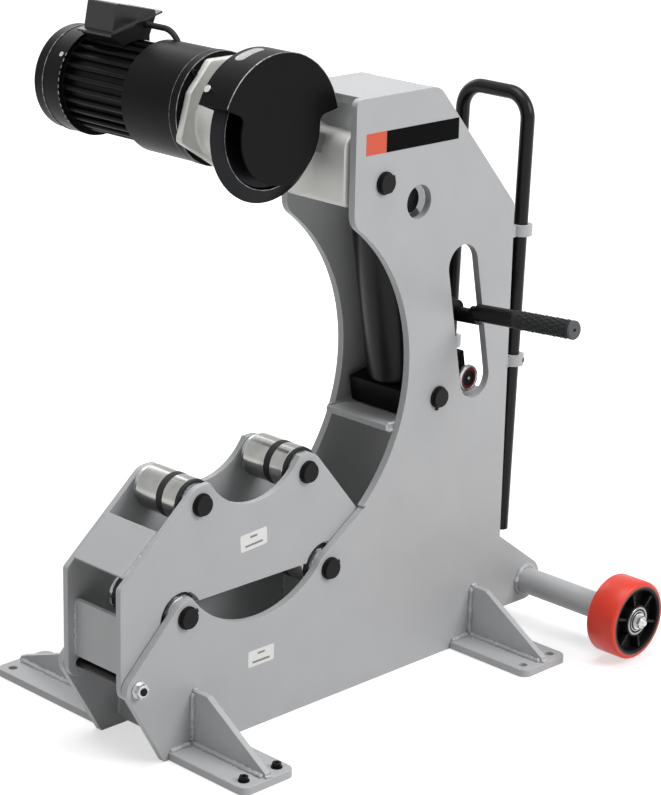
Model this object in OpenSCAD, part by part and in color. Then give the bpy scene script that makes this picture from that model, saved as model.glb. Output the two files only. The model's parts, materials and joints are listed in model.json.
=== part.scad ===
// Electric pipe cutter with a hinged cutting head, a hand-pumped jack and a flip-up cradle.
// X runs from the open throat (-X) to the wheels (+X), Y runs from the lever side (-Y) to the
// motor side (+Y) and Z is up. The origin is on the floor, at the centre of the four feet.

/* [Frame] */
// Thickness of a side plate
plate_t = 12; // [8:0.5:16]
// Width over both side plates
frame_w = 150; // [140:1:170]
// Height of the side plates
frame_h = 902; // [890:1:940]
// X of the front edge of the upright
front_x = 6; // [0:1:20]
// X of the rear edge of the upright
rear_x = 353; // [345:1:370]
// Radius of the throat that the pipe lies in
throat_r = 272; // [266:1:276]
// X of the throat's centre
throat_x = -142; // [-148:1:-136]
// Height of the throat's centre
throat_z = 491; // [485:1:497]
// X of the bottom front corner of a side plate
toe_x = -352; // [-370:1:-340]
// Thickness of the top cover
cover_t = 13; // [8:0.5:16]
// Thickness of the cross plates
cross_t = 10; // [6:0.5:14]

/* [Feet and wheels] */
// Distance between the front and rear feet, centre to centre
feet_pitch = 587; // [570:1:600]
// Width of a foot plate
foot_w = 100; // [80:1:110]
// Thickness of a foot plate
foot_t = 12; // [8:0.5:16]
// Length of a foot on the lever side
near_foot_l = 157; // [130:1:180]
// Length of a foot on the motor side
far_foot_l = 249; // [220:1:280]
// Distance between the two bolt holes of a foot
foot_hole_pitch = 63; // [50:1:70]
// Diameter of a foot's bolt hole
foot_hole_d = 13; // [10:0.5:16]
// Height of a foot gusset
gusset_h = 94; // [60:1:100]
// Diameter of a wheel
wheel_d = 125; // [110:1:130]
// Width of a wheel
wheel_w = 54; // [40:1:54]
// Distance from the middle plane to a wheel's outer face
wheel_out = 307; // [290:1:320]
// Diameter of the axle tube
axle_tube_d = 42; // [38:0.5:48]
// X of the wheel axle
axle_x = 419; // [410:1:430]
// Height of the wheel axle
axle_z = 70; // [66:1:76]

/* [Rollers and cradle] */
// Diameter of a roller
roller_d = 66; // [60:1:68]
// Diameter of a roller shaft
roller_shaft_d = 20; // [16:1:24]
// Distance between the two rollers of the base
base_pitch = 281; // [276:1:284]
// Height of the base rollers' axes
base_roller_z = 208.5; // [206:0.5:211]
// X midway between the base rollers
base_mid_x = -168.5; // [-171:0.5:-166]
// Distance between the two rollers of the cradle
cradle_pitch = 207; // [200:1:212]
// Height of the cradle rollers' axes
cradle_roller_z = 364; // [358:1:366]
// X midway between the cradle rollers
cradle_mid_x = -168; // [-175:1:-167]
// Thickness of a cradle plate
cradle_t = 10; // [8:0.5:11]
// Diameter of the rod that the cradle turns on
hinge_rod_d = 14; // [12:1:20]
// X of the cradle's hinge
hinge_x = -399; // [-404:1:-394]
// Height of the cradle's hinge
hinge_z = 126; // [122:1:130]

/* [Cutting head] */
// X of the pin that the head turns on
pivot_x = 66.5; // [60:0.5:72]
// Depth of the head's pin below the top of the side plates
pivot_drop = 127; // [122:1:132]
// Diameter of the head's pin
pivot_pin_d = 30; // [24:1:34]
// X of the cutter's axis
cutter_x = -99; // [-104:1:-94]
// Height of the cutter's axis above the head's pin
cutter_rise = 88; // [83:1:93]
// Diameter of the cutter wheel
cutter_d = 210; // [190:1:214]
// Distance from the cutter's edge to the outside of the guard
guard_reach = 7; // [6:0.5:13]
// Height of the motor's axis above the cutter's axis
motor_rise = 14; // [12:0.5:15]
// Outer radius of the gearbox housing
gearbox_r = 82; // [80:0.5:86]
// Length of the gearbox housing
gearbox_l = 104; // [100:1:120]
// Length of the finned motor body
motor_l = 143; // [120:1:160]
// Radius over the motor's fins
fin_r = 73; // [70:0.5:76]
// Number of fins on the motor
fin_count = 26; // [20:2:32]
// Length of the fan cowl
cowl_l = 59; // [50:1:70]
// Outer radius of the fan cowl
cowl_r = 80; // [78:0.5:84]

/* [Jack] */
// X of the jack's lower pin
jack_x = 196; // [190:1:202]
// Height of the jack's lower pin
jack_z = 426; // [420:1:432]
// X of the pin between the ram and the head
ram_x = 141; // [138:1:144]
// Depth of the ram's pin below the head's pin
ram_drop = 40; // [36:1:44]
// Diameter of the jack's barrel
barrel_d = 102; // [90:1:106]
// Diameter of the ram
ram_d = 38; // [30:1:44]
// Distance from the jack's axis to the pump's axis
pump_offset = 84; // [80:1:88]
// Length of the lever from the pump to the end of the grip
lever_l = 284; // [260:1:340]
// Diameter of the lever's tube
lever_d = 27; // [24:0.5:28]

/* [Tow handle] */
// Diameter of the tow handle's tube
tow_d = 22; // [18:0.5:24]
// Distance from the middle plane to a leg of the tow handle
tow_y = 66; // [60:1:69]
// Lean of the tow handle towards the rear
tow_lean = 1.75; // [1.6:0.05:2.5]
// Height of the top of the tow handle
tow_top = 873; // [850:1:890]

/* [Hidden] */
$fn = 64;

// Half the gap between the side plates, and the distance to their outer faces
inner_y = frame_w / 2 - plate_t;
outer_y = frame_w / 2;
// Radial clearances: of a part that turns, of a fixed pin and of a sliding tube
turn_fit = 0.05;
pin_fit = 0.1;
slide_fit = 0.1;
// Gap between neighbours that don't touch
gap = 0.3;
// Largest angle between two points of a belt's arcs
arc_step = 6;

// Rollers of the base and of the cradle
base_rollers = [[base_mid_x - base_pitch / 2, base_roller_z],
                [base_mid_x + base_pitch / 2, base_roller_z]];
cradle_rollers = [[cradle_mid_x - cradle_pitch / 2, cradle_roller_z],
                  [cradle_mid_x + cradle_pitch / 2, cradle_roller_z]];
cradle_outer_y = inner_y - 1;
cradle_inner_y = cradle_outer_y - cradle_t;
cradle_roller_y = cradle_inner_y - 11;
base_roller_y = cradle_inner_y - 1;
roller_groove_w = 13;
roller_groove_y = -9;
roller_groove_depth = 2;
spacer_r = 28;
cap_r = 17;
cap_t = 8.5;
cap_edge = 1.5;

// Round parts of the side plate's outline
boss_r = 25;
hinge_boss_r = 21;
axle_boss_r = 34;
throat_corner_r = 30;
arc_r = 163;
arc_z = 332;
top_corner_r = 12;
rear_corner_r = 30;
rear_corner_x = 163.6;
rear_boss_top = 165;

// Jack pin and slot for the pump lever
jack_pin_d = 24;
lever_slot_r = 32;
access_hole_r = 25.5;
access_hole_drop = 39;

// Cradle
cradle_low_z = 221;
cradle_arc_r = 102;
cradle_arc_z = 445;
cradle_front_x = -420;
cradle_rail_x = 33;
cradle_rail_z = 278;
cradle_notch_r = 38;
cradle_corner_r = 28;
slope_t = 8;
front_plate_x = -407;
front_plate_z = 139;
front_plate_h = 86;
hinge_end_d = 11;
hinge_end_l = 2;
hinge_washer_d = 25;
hinge_washer_t = 2.5;
nut_t = 9;
nut_d = 21.5;

// Feet
foot_corner_r = 15;
foot_hole_inset = 21;
gusset_t = 10;
gusset_toe = 6;
gusset_flat = 28;

// Wheels
stud_d = 20;
hub_r = 54.5;
hub_boss_r = 25;
hub_rim = 5;
hub_recess = 1;
hub_dish = 16;
tube_wall = 5;
stud_plug_l = 30;
stud_end_d = 12;
stud_out = 8;
wheel_gap = 2;
axle_washer_d = 26;
axle_nut_d = 20;
axle_nut_t = 7.5;
dome_r = 7.8;
dome_t = 6.5;
washer_t = 2;

// Head
pivot_z = frame_h - pivot_drop;
cutter_z = pivot_z + cutter_rise;
guard_r = cutter_d / 2 + guard_reach;
ram_z = pivot_z - ram_drop;
hub_y = inner_y - 1;
block_y = inner_y - 4;
head_hub_r = 38;
block_x = 0;
block_low_z = pivot_z - 30;
block_top_z = pivot_z + 73;
block_corner_r = 20;
block_fillet_r = 25;
neck_y = 26;
boss_top_y = 82;
shaft_boss_r = 58;
flange_t = 13;
screw_pitch_r = 70;
screw_turns = [66, -22.7, -90];
motor_z = cutter_z + motor_rise;
layshaft_z = cutter_z + 52;
flange_y = boss_top_y + flange_t;
ring_t = 15;
ring_y = flange_y + ring_t;
gearbox_end = ring_y + gearbox_l;
motor_end = gearbox_end + motor_l;
cowl_end = motor_end + cowl_l;
lug_r = 25;
lug_gap_y = 19.5;
lug_t = 30;
ram_head_r = 20;
ram_head_t = 4;
ram_pin_d = 20;
lug_slot_r = 13;
lug_slot_l = 14;
lug_slot_angle = 153;
cutter_bore_d = 30;
cutter_half_w = 8;
cutter_bevel = 17;
cutter_rim = 3;
cutter_web = 4;
cutter_hub_r = 45;
cutter_hub_y = 14;
layshaft_d = 14;
pinion_r = 9.8;
layshaft_gear_r = 27.8;
cutter_gear_r = 41.8;
gear_y = ring_y + 2;
gear_w = 18;
fast_gear_y = 140;
fast_gear_w = 16;
gearbox_wall = 8;
gearbox_back = 14;
rotor_shaft_d = 16;
rotor_r = 33.6;
stator_r = 51.9;
motor_wall = 8;
fin_t = 8;
fin_root_r = 65;
cowl_wall = 5;
spigot_l = 6;
fan_r = 70;
guard_t = 3;
guard_front = -32;
guard_from = 11;
guard_to = 157;
guard_low_r = 75;
guard_flange_r = 40;
guard_fillet_r = 12;
guard_screw_turns = [30, 145];
guard_screw_r = 3;
guard_screw_head_r = 5.5;
screw_r = 4;
screw_head_r = 7;
screw_head_t = 6;

// Terminal box and its cable
box_y0 = 270;
box_y1 = 342;
box_x0 = -152;
box_x1 = -66;
box_foot_x0 = -130;
box_foot_x1 = -78;
box_foot_z = motor_z + 79;
box_rim_z = motor_z + 84;
box_rim_rise = 0.265;
lid_lip = 2;
lid_lip_t = 3;
lid_inset = 4;
lid_x1 = -55.5;
// Corners of the lid's raised part, as [x, z, corner radius]
lid_body = [[-143, motor_z + 90, 3], [-69, motor_z + 109.5, 3], [-67.5, motor_z + 111, 3.5],
            [-135, motor_z + 125.5, 4]];
cable_d = 9;
cable_x = -84;
cable_z = motor_z + 95;
cable_bend_y = 232;
cable_bend_r = 36;
cable_turn = 64;

// Jack: its own axis leans back from the lower pin to the ram's pin
jack_lean = atan2(jack_x - ram_x, ram_z - jack_z);
jack_l = norm([jack_x - ram_x, ram_z - jack_z]);
barrel_z0 = 26;
barrel_z1 = jack_l - 34;
base_half_y = 55;
base_from_x = -56;
base_low = -14;
pump_half_y = 34;
pump_post_r = 16;
pump_post_z = 64;
plunger_d = 18;
lever_pivot_y = 28;
lever_pivot_z = 101.5;
lever_tilt = 4.6;
lever_pin_d = 10;
cheek_t = 6;
cheek_x = 9;
cheek_h = 12;
rod_d = 23;
rod_drop = 8;
lever_boss_d = 28;
lever_boss_l = 30;
stub_d = 18;
stub_end = 165;
tube_from = 122;
grip_l = 113;
grip_r = 14.5;
grip_bar_d = 22;
knob_x = 93.5;
knob_z = -12;
knob_r = 21;
knob_t = 8;
knob_neck_r = 12;
knob_neck_l = 10;

// Tow handle
leg_x = 364.5;
leg_z = 170;
leg_rise = tow_top - leg_z - tow_d / 2;
tow_bend_r = 38;
clamp_r = 18.5;
clamp_h = 17;
clamp_lug_w = 12;
clamp_zs = [449, 655];

// Angle of the outward normal of the straight run from disc a to disc b
function run_normal(a, b) =
    let (d = [b.x - a.x, b.y - a.y])
    atan2(d.y, d.x) - acos((a.z - b.z) / norm(d));

// Points of a belt round the discs [across, up, radius], which are listed anticlockwise
function belt(discs) = [
    for (i = [0:len(discs) - 1])
        let (n = len(discs), disc = discs[i],
             from = run_normal(discs[(i + n - 1) % n], disc),
             turn = (run_normal(disc, discs[(i + 1) % n]) - from + 721) % 360 - 1,
             steps = max(1, ceil(turn / arc_step)))
        for (k = [0:steps])
            [disc.x, disc.y] + disc.z * [cos(from + turn * k / steps), sin(from + turn * k / steps)]
];

// Points of an arc about a centre
function arc(centre, r, from, to) = [
    let (steps = max(1, ceil(abs(to - from) / arc_step)))
    for (k = [0:steps])
        centre + r * [cos(from + (to - from) * k / steps), sin(from + (to - from) * k / steps)]
];

// A flat shape drawn in X and Z, as thick as t from y0 on
module plate_xz(y0, t) {
    translate([0, y0 + t, 0]) rotate([90, 0, 0]) linear_extrude(t) children();
}

// A flat shape drawn in Y and Z, as thick as t from x0 on
module plate_yz(x0, t) {
    translate([x0, 0, 0]) rotate([90, 0, 90]) linear_extrude(t) children();
}

// A round bar along Y from y0 to y1
module bar_y(at, y0, y1, d) {
    translate([at.x, y1, at.y]) rotate([90, 0, 0]) cylinder(d = d, h = y1 - y0);
}

// A ring along Y from y0 to y1
module ring_y(at, y0, y1, d, bore) {
    difference() {
        bar_y(at, y0, y1, d);
        bar_y(at, y0 - 1, y1 + 1, bore);
    }
}

// The part of a ring between two angles, drawn in X and Z
module ring_sector(at, r_in, r_out, from, to) {
    polygon(concat(arc(at, r_out, from, to), arc(at, r_in, to, from)));
}

// Both sides of the middle plane
module both_sides() {
    children();
    mirror([0, 1, 0]) children();
}

// Outline of a side plate
module side_plate_shape() {
    mouth_z = throat_z + sqrt(pow(throat_r + throat_corner_r, 2)
                              - pow(front_x + throat_corner_r - throat_x, 2));
    mouth = [front_x + throat_corner_r, mouth_z];
    mouth_turn = atan2(mouth_z - throat_z, mouth.x - throat_x);
    difference() {
        union() {
            polygon(belt([[front_x + 10, 10, 10], [rear_x - 5, 5, 5],
                          [rear_x - 12, frame_h - 205, 12],
                          [rear_corner_x, frame_h - rear_corner_r, rear_corner_r],
                          [front_x + 12, frame_h - top_corner_r, top_corner_r]]));
            polygon(belt([[rear_x - 23, 45, 8], [axle_x, axle_z, axle_boss_r],
                          [rear_x - 8, rear_boss_top - 8, 8], [rear_x - 33, rear_boss_top - 8, 8]]));
            polygon(belt([[toe_x + 2, 2, 2], [60, 2, 2], [60, 300, 2],
                          concat(base_rollers[0], boss_r), [hinge_x, hinge_z, hinge_boss_r]]));
        }
        translate([throat_x, throat_z]) circle(r = throat_r, $fn = 128);
        translate([base_mid_x, arc_z]) circle(r = arc_r, $fn = 128);
        polygon([[-38, 232], [45, 287], [-40, 300]]);
        polygon(concat(arc(mouth, throat_corner_r, 180, 180 + mouth_turn),
                       [[front_x - 5, mouth_z - 50], [front_x - 5, mouth_z]]));
    }
    translate(base_rollers[1]) circle(r = boss_r + 1);
}

// Bores that both side plates have
module side_plate_bores() {
    bar_y([pivot_x, pivot_z], -outer_y - 1, outer_y + 1, pivot_pin_d + 2 * pin_fit);
    bar_y([jack_x, jack_z], -outer_y - 1, outer_y + 1, jack_pin_d + 2 * pin_fit);
    bar_y([hinge_x, hinge_z], -outer_y - 1, outer_y + 1, hinge_rod_d + 2 * pin_fit);
    bar_y([axle_x, axle_z], -outer_y - 1, outer_y + 1, axle_tube_d + 2 * pin_fit);
    for (at = base_rollers) bar_y(at, -outer_y - 1, outer_y + 1, roller_shaft_d + 2 * pin_fit);
}

module near_side_plate() {
    color("#b9babb")
    difference() {
        plate_xz(-outer_y, plate_t) difference() {
            side_plate_shape();
            polygon(belt([[277, 440, lever_slot_r], [242, 623, lever_slot_r]]));
        }
        side_plate_bores();
        bar_y([ram_x - 1, pivot_z - access_hole_drop], -outer_y - 1, -inner_y + 1, 2 * access_hole_r);
    }
}

module far_side_plate() {
    color("#b9babb")
    difference() {
        plate_xz(inner_y, plate_t) side_plate_shape();
        side_plate_bores();
    }
}

module top_cover() {
    color("#b9babb")
    translate([24, -inner_y, frame_h - cover_t]) cube([142, 2 * inner_y, cover_t]);
}

module jack_shelf() {
    color("#b9babb")
    translate([96, -inner_y, 390]) cube([rear_x - 104, 2 * inner_y, cross_t]);
}

module front_cross_plate() {
    color("#b9babb")
    translate([toe_x + 34, -inner_y, foot_t]) cube([cross_t, 2 * inner_y, 68]);
}

// A cross tie of the frame: its flange stands on the floor and the cradle rests on its web
module cradle_rest() {
    color("#b9babb")
    translate([0, -inner_y, 0]) {
        translate([-40, 0, 0]) cube([62, 2 * inner_y, foot_t]);
        translate([22 - cross_t, 0, 0]) cube([cross_t, 2 * inner_y, cradle_low_z - gap]);
    }
}

// A foot plate on the side towards +Y, with its bolt holes
module foot(length) {
    half = foot_w / 2;
    difference() {
        linear_extrude(foot_t)
            polygon(belt([[half - 2, outer_y + 2, 2],
                          [half - foot_corner_r, outer_y + length - foot_corner_r, foot_corner_r],
                          [-half + foot_corner_r, outer_y + length - foot_corner_r, foot_corner_r],
                          [-half + 2, outer_y + 2, 2]]));
        for (side = [-1, 1])
            translate([side * foot_hole_pitch / 2, outer_y + length - foot_hole_inset, -1])
                cylinder(d = foot_hole_d, h = foot_t + 2);
    }
}

module near_feet() {
    color("#b9babb")
    for (side = [-1, 1])
        translate([side * feet_pitch / 2, 0, 0]) mirror([0, 1, 0]) foot(near_foot_l);
}

module far_feet() {
    color("#b9babb")
    for (side = [-1, 1])
        translate([side * feet_pitch / 2, 0, 0]) foot(far_foot_l);
}

// A gusset on the side towards +Y
module gusset(length) {
    toe = outer_y + length - gusset_toe;
    plate_yz(-gusset_t / 2, gusset_t)
        polygon(belt([[outer_y + 0.5, foot_t + 0.5, 0.5], [toe - 0.5, foot_t + 0.5, 0.5],
                      [toe - 3, foot_t + 5, 3], [outer_y + gusset_flat, gusset_h - 8, 8],
                      [outer_y + 0.5, gusset_h - 0.5, 0.5]]));
}

module foot_gussets() {
    color("#b9babb")
    for (side = [-1, 1])
        translate([side * feet_pitch / 2, 0, 0]) {
            gusset(far_foot_l);
            mirror([0, 1, 0]) gusset(near_foot_l);
        }
}

module axle_tube() {
    end_y = wheel_out - wheel_w - wheel_gap;
    color("#b9babb")
    ring_y([axle_x, axle_z], -end_y, end_y, axle_tube_d, axle_tube_d - 2 * tube_wall);
}

module axle_studs() {
    end_y = wheel_out - wheel_w - wheel_gap;
    color("dimgray")
    both_sides() {
        bar_y([axle_x, axle_z], end_y - stud_plug_l, end_y, axle_tube_d - 2 * tube_wall - 2 * pin_fit);
        bar_y([axle_x, axle_z], end_y - 1, wheel_out - hub_recess, stud_d);
        bar_y([axle_x, axle_z], end_y - 1, wheel_out + stud_out, stud_end_d);
    }
}

module axle_nuts() {
    washer_y = wheel_out - hub_recess + gap;
    nut_y = washer_y + washer_t;
    color("silver")
    both_sides() difference() {
        union() {
            bar_y([axle_x, axle_z], washer_y, nut_y + 0.5, axle_washer_d);
            translate([axle_x, nut_y, axle_z]) rotate([-90, 0, 0]) {
                cylinder(d = axle_nut_d, h = axle_nut_t, $fn = 6);
                translate([0, 0, axle_nut_t - 1]) cylinder(r1 = dome_r, r2 = dome_r / 2, h = dome_t);
            }
        }
        bar_y([axle_x, axle_z], washer_y - 1, wheel_out + stud_out + gap, stud_end_d + 2 * pin_fit);
    }
}

// A clamp ring of the tow handle with its lug on the rear edge of a side plate
module handle_ring(z) {
    x = leg_x + (z - leg_z) * tan(tow_lean);
    difference() {
        union() {
            translate([x, tow_y, z]) rotate([0, tow_lean, 0])
                cylinder(r = clamp_r, h = clamp_h, center = true);
            translate([rear_x, tow_y - clamp_lug_w / 2, z - clamp_h / 2])
                cube([x - rear_x, clamp_lug_w, clamp_h]);
        }
        translate([x, tow_y, z]) rotate([0, tow_lean, 0])
            cylinder(d = tow_d + 2 * slide_fit, h = 3 * clamp_h, center = true);
        translate([rear_x - 20, tow_y - 2 * clamp_r, z - 2 * clamp_h])
            cube([20, 4 * clamp_r, 4 * clamp_h]);
    }
}

module handle_rings() {
    color("#b9babb")
    both_sides() for (z = clamp_zs) handle_ring(z);
}

// A black cap over the end of a pin, on the face at y
module pin_cap(at, y) {
    translate([at.x, y, at.y]) rotate([-90, 0, 0]) {
        cylinder(r = cap_r, h = cap_t - cap_edge);
        translate([0, 0, cap_t - cap_edge]) cylinder(r1 = cap_r, r2 = cap_r - cap_edge, h = cap_edge);
    }
}

module pin_caps() {
    color("#2a2a2c")
    both_sides() {
        pin_cap([pivot_x, pivot_z], outer_y);
        pin_cap([jack_x, jack_z], outer_y);
        for (at = base_rollers) pin_cap(at, outer_y);
    }
}

module frame_pins() {
    color("silver") {
        bar_y([pivot_x, pivot_z], -outer_y, outer_y, pivot_pin_d);
        bar_y([jack_x, jack_z], -outer_y, outer_y, jack_pin_d);
    }
}

module base_roller_shafts() {
    color("silver")
    for (at = base_rollers) bar_y(at, -outer_y, outer_y, roller_shaft_d);
}

module base_roller_rings() {
    color("#8d8f91")
    both_sides() for (at = base_rollers)
        ring_y(at, base_roller_y + gap, inner_y, 2 * spacer_r, roller_shaft_d + 2 * pin_fit);
}

module cradle_pivot_rod() {
    end_y = outer_y + hinge_washer_t + nut_t + hinge_end_l;
    color("silver") {
        bar_y([hinge_x, hinge_z], -outer_y, outer_y, hinge_rod_d);
        bar_y([hinge_x, hinge_z], -end_y, end_y, hinge_end_d);
    }
}

module cradle_pivot_nuts() {
    color("#6d6e70")
    both_sides() difference() {
        union() {
            bar_y([hinge_x, hinge_z], outer_y + gap, outer_y + hinge_washer_t, hinge_washer_d);
            translate([hinge_x, outer_y + hinge_washer_t + nut_t, hinge_z]) rotate([90, 0, 0])
                cylinder(d = nut_d, h = nut_t + 1, $fn = 6);
        }
        bar_y([hinge_x, hinge_z], outer_y - 1, outer_y + nut_t + 4, hinge_end_d + 2 * pin_fit);
    }
}

// A wheel's tyre and hub on the side towards +Y
module tyre() {
    translate([axle_x, wheel_out, axle_z]) rotate([90, 0, 0]) rotate_extrude()
            polygon([[hub_r, 0], [wheel_d / 2 - 5, 0], [wheel_d / 2 - 1.5, 1.5], [wheel_d / 2, 5],
                     [wheel_d / 2, wheel_w - 5], [wheel_d / 2 - 1.5, wheel_w - 1.5],
                     [wheel_d / 2 - 5, wheel_w], [hub_r, wheel_w]]);
}

module hub() {
    translate([axle_x, wheel_out, axle_z]) rotate([90, 0, 0]) rotate_extrude()
        polygon([[stud_d / 2 + turn_fit, hub_recess], [hub_boss_r, hub_recess],
                 [hub_boss_r + 2, hub_dish], [hub_r - hub_rim - 2, hub_dish],
                 [hub_r - hub_rim, 1], [hub_r, 1],
                 [hub_r, wheel_w - 1], [hub_r - hub_rim, wheel_w - 1],
                 [hub_r - hub_rim - 2, wheel_w - hub_dish], [hub_boss_r + 2, wheel_w - hub_dish],
                 [hub_boss_r, wheel_w], [stud_d / 2 + turn_fit, wheel_w]]);
}

module near_wheel_tyre() {
    color("#d8452c") mirror([0, 1, 0]) tyre();
}

module near_wheel_hub() {
    color("#2a2a2c") mirror([0, 1, 0]) hub();
}

module far_wheel_tyre() {
    color("#d8452c") tyre();
}

module far_wheel_hub() {
    color("#2a2a2c") hub();
}

// A roller with the groove for its rubber band and a bore for its shaft
module roller(at, half_l) {
    translate([at.x, 0, at.y]) rotate([90, 0, 0]) rotate_extrude()
        polygon([[roller_shaft_d / 2 + turn_fit, -half_l], [roller_d / 2, -half_l],
                 [roller_d / 2, -roller_groove_y - roller_groove_w / 2],
                 [roller_d / 2 - roller_groove_depth, -roller_groove_y - roller_groove_w / 2],
                 [roller_d / 2 - roller_groove_depth, -roller_groove_y + roller_groove_w / 2],
                 [roller_d / 2, -roller_groove_y + roller_groove_w / 2],
                 [roller_d / 2, half_l], [roller_shaft_d / 2 + turn_fit, half_l]]);
}

module base_front_roller() {
    color("silver") roller(base_rollers[0], base_roller_y);
}

module base_rear_roller() {
    color("silver") roller(base_rollers[1], base_roller_y);
}

module cradle_front_roller() {
    color("silver") roller(cradle_rollers[0], cradle_roller_y);
}

module cradle_rear_roller() {
    color("silver") roller(cradle_rollers[1], cradle_roller_y);
}

// Outline of a cradle plate
module cradle_plate_shape() {
    nose = [cradle_front_x + 8, cradle_rail_z - 7, 8];
    difference() {
        union() {
            polygon(belt([[hinge_x, hinge_z, hinge_boss_r], [-345, cradle_low_z - 6, 5],
                          [-345, 330, 5], nose]));
            polygon(belt([[-350, cradle_low_z + 4, 4], [20, cradle_low_z + 4, 4],
                          [cradle_rail_x, cradle_rail_z, 8],
                          concat(cradle_rollers[1], cradle_corner_r),
                          concat(cradle_rollers[0], cradle_corner_r), nose]));
        }
        translate([cradle_mid_x, cradle_arc_z]) circle(r = cradle_arc_r, $fn = 128);
        translate([base_rollers[0].x, base_roller_z - 4.5]) circle(r = cradle_notch_r);
        translate(base_rollers[1]) circle(r = cradle_notch_r - 1);
    }
}

module cradle_plate(y0) {
    color("#b9babb")
    difference() {
        plate_xz(y0, cradle_t) cradle_plate_shape();
        bar_y([hinge_x, hinge_z], y0 - 1, y0 + cradle_t + 1, hinge_rod_d + 2 * turn_fit);
        for (at = cradle_rollers)
            bar_y(at, y0 - 1, y0 + cradle_t + 1, roller_shaft_d + 2 * pin_fit);
    }
}

module cradle_near_plate() {
    cradle_plate(-cradle_outer_y);
}

module cradle_far_plate() {
    cradle_plate(cradle_inner_y);
}

module cradle_slope_plate() {
    color("#b9babb")
    plate_xz(-cradle_inner_y, 2 * cradle_inner_y)
        polygon([[-342, 336], [-347, 341], [-411, 290], [-406, 285]]);
}

module cradle_front_plate() {
    color("#b9babb")
    translate([front_plate_x, -cradle_inner_y, front_plate_z])
        cube([slope_t, 2 * cradle_inner_y, front_plate_h]);
}

module cradle_roller_shafts() {
    color("silver")
    for (at = cradle_rollers) bar_y(at, -cradle_outer_y, cradle_outer_y, roller_shaft_d);
}

module cradle_roller_rings() {
    color("#8d8f91")
    both_sides() for (at = cradle_rollers)
        ring_y(at, cradle_roller_y + gap, cradle_inner_y, 2 * spacer_r, roller_shaft_d + 2 * pin_fit);
}

module cradle_pin_caps() {
    color("#2a2a2c")
    both_sides() for (at = cradle_rollers) pin_cap(at, cradle_outer_y);
}

module tow_handle() {
    color("#2a2a2c")
    translate([leg_x, 0, leg_z]) rotate([0, tow_lean, 0]) {
        both_sides() {
            translate([0, tow_y, 0]) cylinder(d = tow_d, h = leg_rise - tow_bend_r);
            translate([0, tow_y - tow_bend_r, leg_rise - tow_bend_r]) rotate([90, 0, 90])
                rotate_extrude(angle = 90) translate([tow_bend_r, 0]) circle(d = tow_d);
        }
        translate([0, tow_y - tow_bend_r, leg_rise]) rotate([90, 0, 0])
            cylinder(d = tow_d, h = 2 * (tow_y - tow_bend_r));
    }
}

// Corners of one half of the casting's flange, as [from the motor's axis, up, corner radius]
flange_half = [[3, -79, 8], [76.5, -32, 8], [59, 28, 8], [25, 67, 8]];
// Places of the screws between the casting and the gearbox
flange_screws = [for (turn = screw_turns)
    [cutter_x + screw_pitch_r * cos(turn), motor_z + screw_pitch_r * sin(turn)]];

// The casting that carries the cutter, the gearbox and the guard
module head_arm() {
    pivot = [pivot_x, pivot_z];
    cutter = [cutter_x, cutter_z];
    slot_end = lug_slot_l * [cos(lug_slot_angle), sin(lug_slot_angle)];
    color("#dcdddd")
    difference() {
        union() {
            bar_y(pivot, -hub_y, hub_y, 2 * head_hub_r);
            plate_xz(-block_y, 2 * block_y)
                polygon(belt([[block_x + 8, block_low_z + 8, 8], concat(pivot, head_hub_r - 1.5),
                              [40, block_top_z - 8, 8],
                              [block_x + block_corner_r, block_top_z - block_corner_r,
                               block_corner_r]]));
            block_fillet();
            plate_xz(neck_y, block_y - neck_y)
                polygon(belt([[cutter_x, cutter_z + 2, shaft_boss_r - 1], concat(pivot, head_hub_r - 2.5),
                              [40, block_top_z - 6, 8]]));
            bar_y([cutter_x, cutter_z + 2], neck_y, boss_top_y, 2 * shaft_boss_r);
            plate_xz(boss_top_y, flange_t)
                translate([cutter_x, motor_z]) polygon(belt(concat(flange_half,
                    [for (i = [len(flange_half) - 1:-1:0])
                        [-flange_half[i].x, flange_half[i].y, flange_half[i].z]])));
            both_sides() plate_xz(lug_gap_y, lug_t)
                polygon(belt([concat(pivot, head_hub_r - 4), [ram_x, ram_z, lug_r]]));
        }
        bar_y(pivot, -hub_y - 1, hub_y + 1, pivot_pin_d + 2 * turn_fit);
        bar_y(cutter, neck_y - 1, flange_y + 1, cutter_bore_d + 2 * turn_fit);
        bar_y([cutter_x, layshaft_z], flange_y - 8, flange_y + 1, layshaft_d + 2 * turn_fit);
        bar_y(cutter, -cutter_half_w - 4, cutter_half_w + 4, cutter_d + 8);
        plate_xz(-block_y - 1, 2 * block_y + 2)
            polygon(belt([[ram_x, ram_z, lug_slot_r],
                          [ram_x + slot_end.x, ram_z + slot_end.y, lug_slot_r]]));
        for (at = flange_screws) {
            bar_y(at, boss_top_y - 1, flange_y + 1, 2 * (screw_r + pin_fit));
            bar_y(at, boss_top_y - 2 * screw_head_t, boss_top_y, 2 * (screw_head_r + gap));
        }
    }
}

// The round corner between the casting's neck and the front of its block
module block_fillet() {
    centre = [block_x - block_fillet_r, neck_y - block_fillet_r];
    translate([0, 0, block_low_z + 8])
        linear_extrude(block_top_z - block_corner_r - block_low_z - 8)
            polygon(concat([[block_x + 1, centre.y]], arc(centre, block_fillet_r, 0, 90),
                           [[centre.x, neck_y + 1], [block_x + 1, neck_y + 1]]));
}

module gearbox_flange() {
    color("#2a2a2c")
    difference() {
        ring_y([cutter_x, motor_z], flange_y, ring_y, 2 * (gearbox_r + 1), 2 * (screw_pitch_r - 9));
        for (at = flange_screws)
            bar_y(at, flange_y - 1, ring_y - 4, 2 * (screw_r + pin_fit));
    }
}

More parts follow.
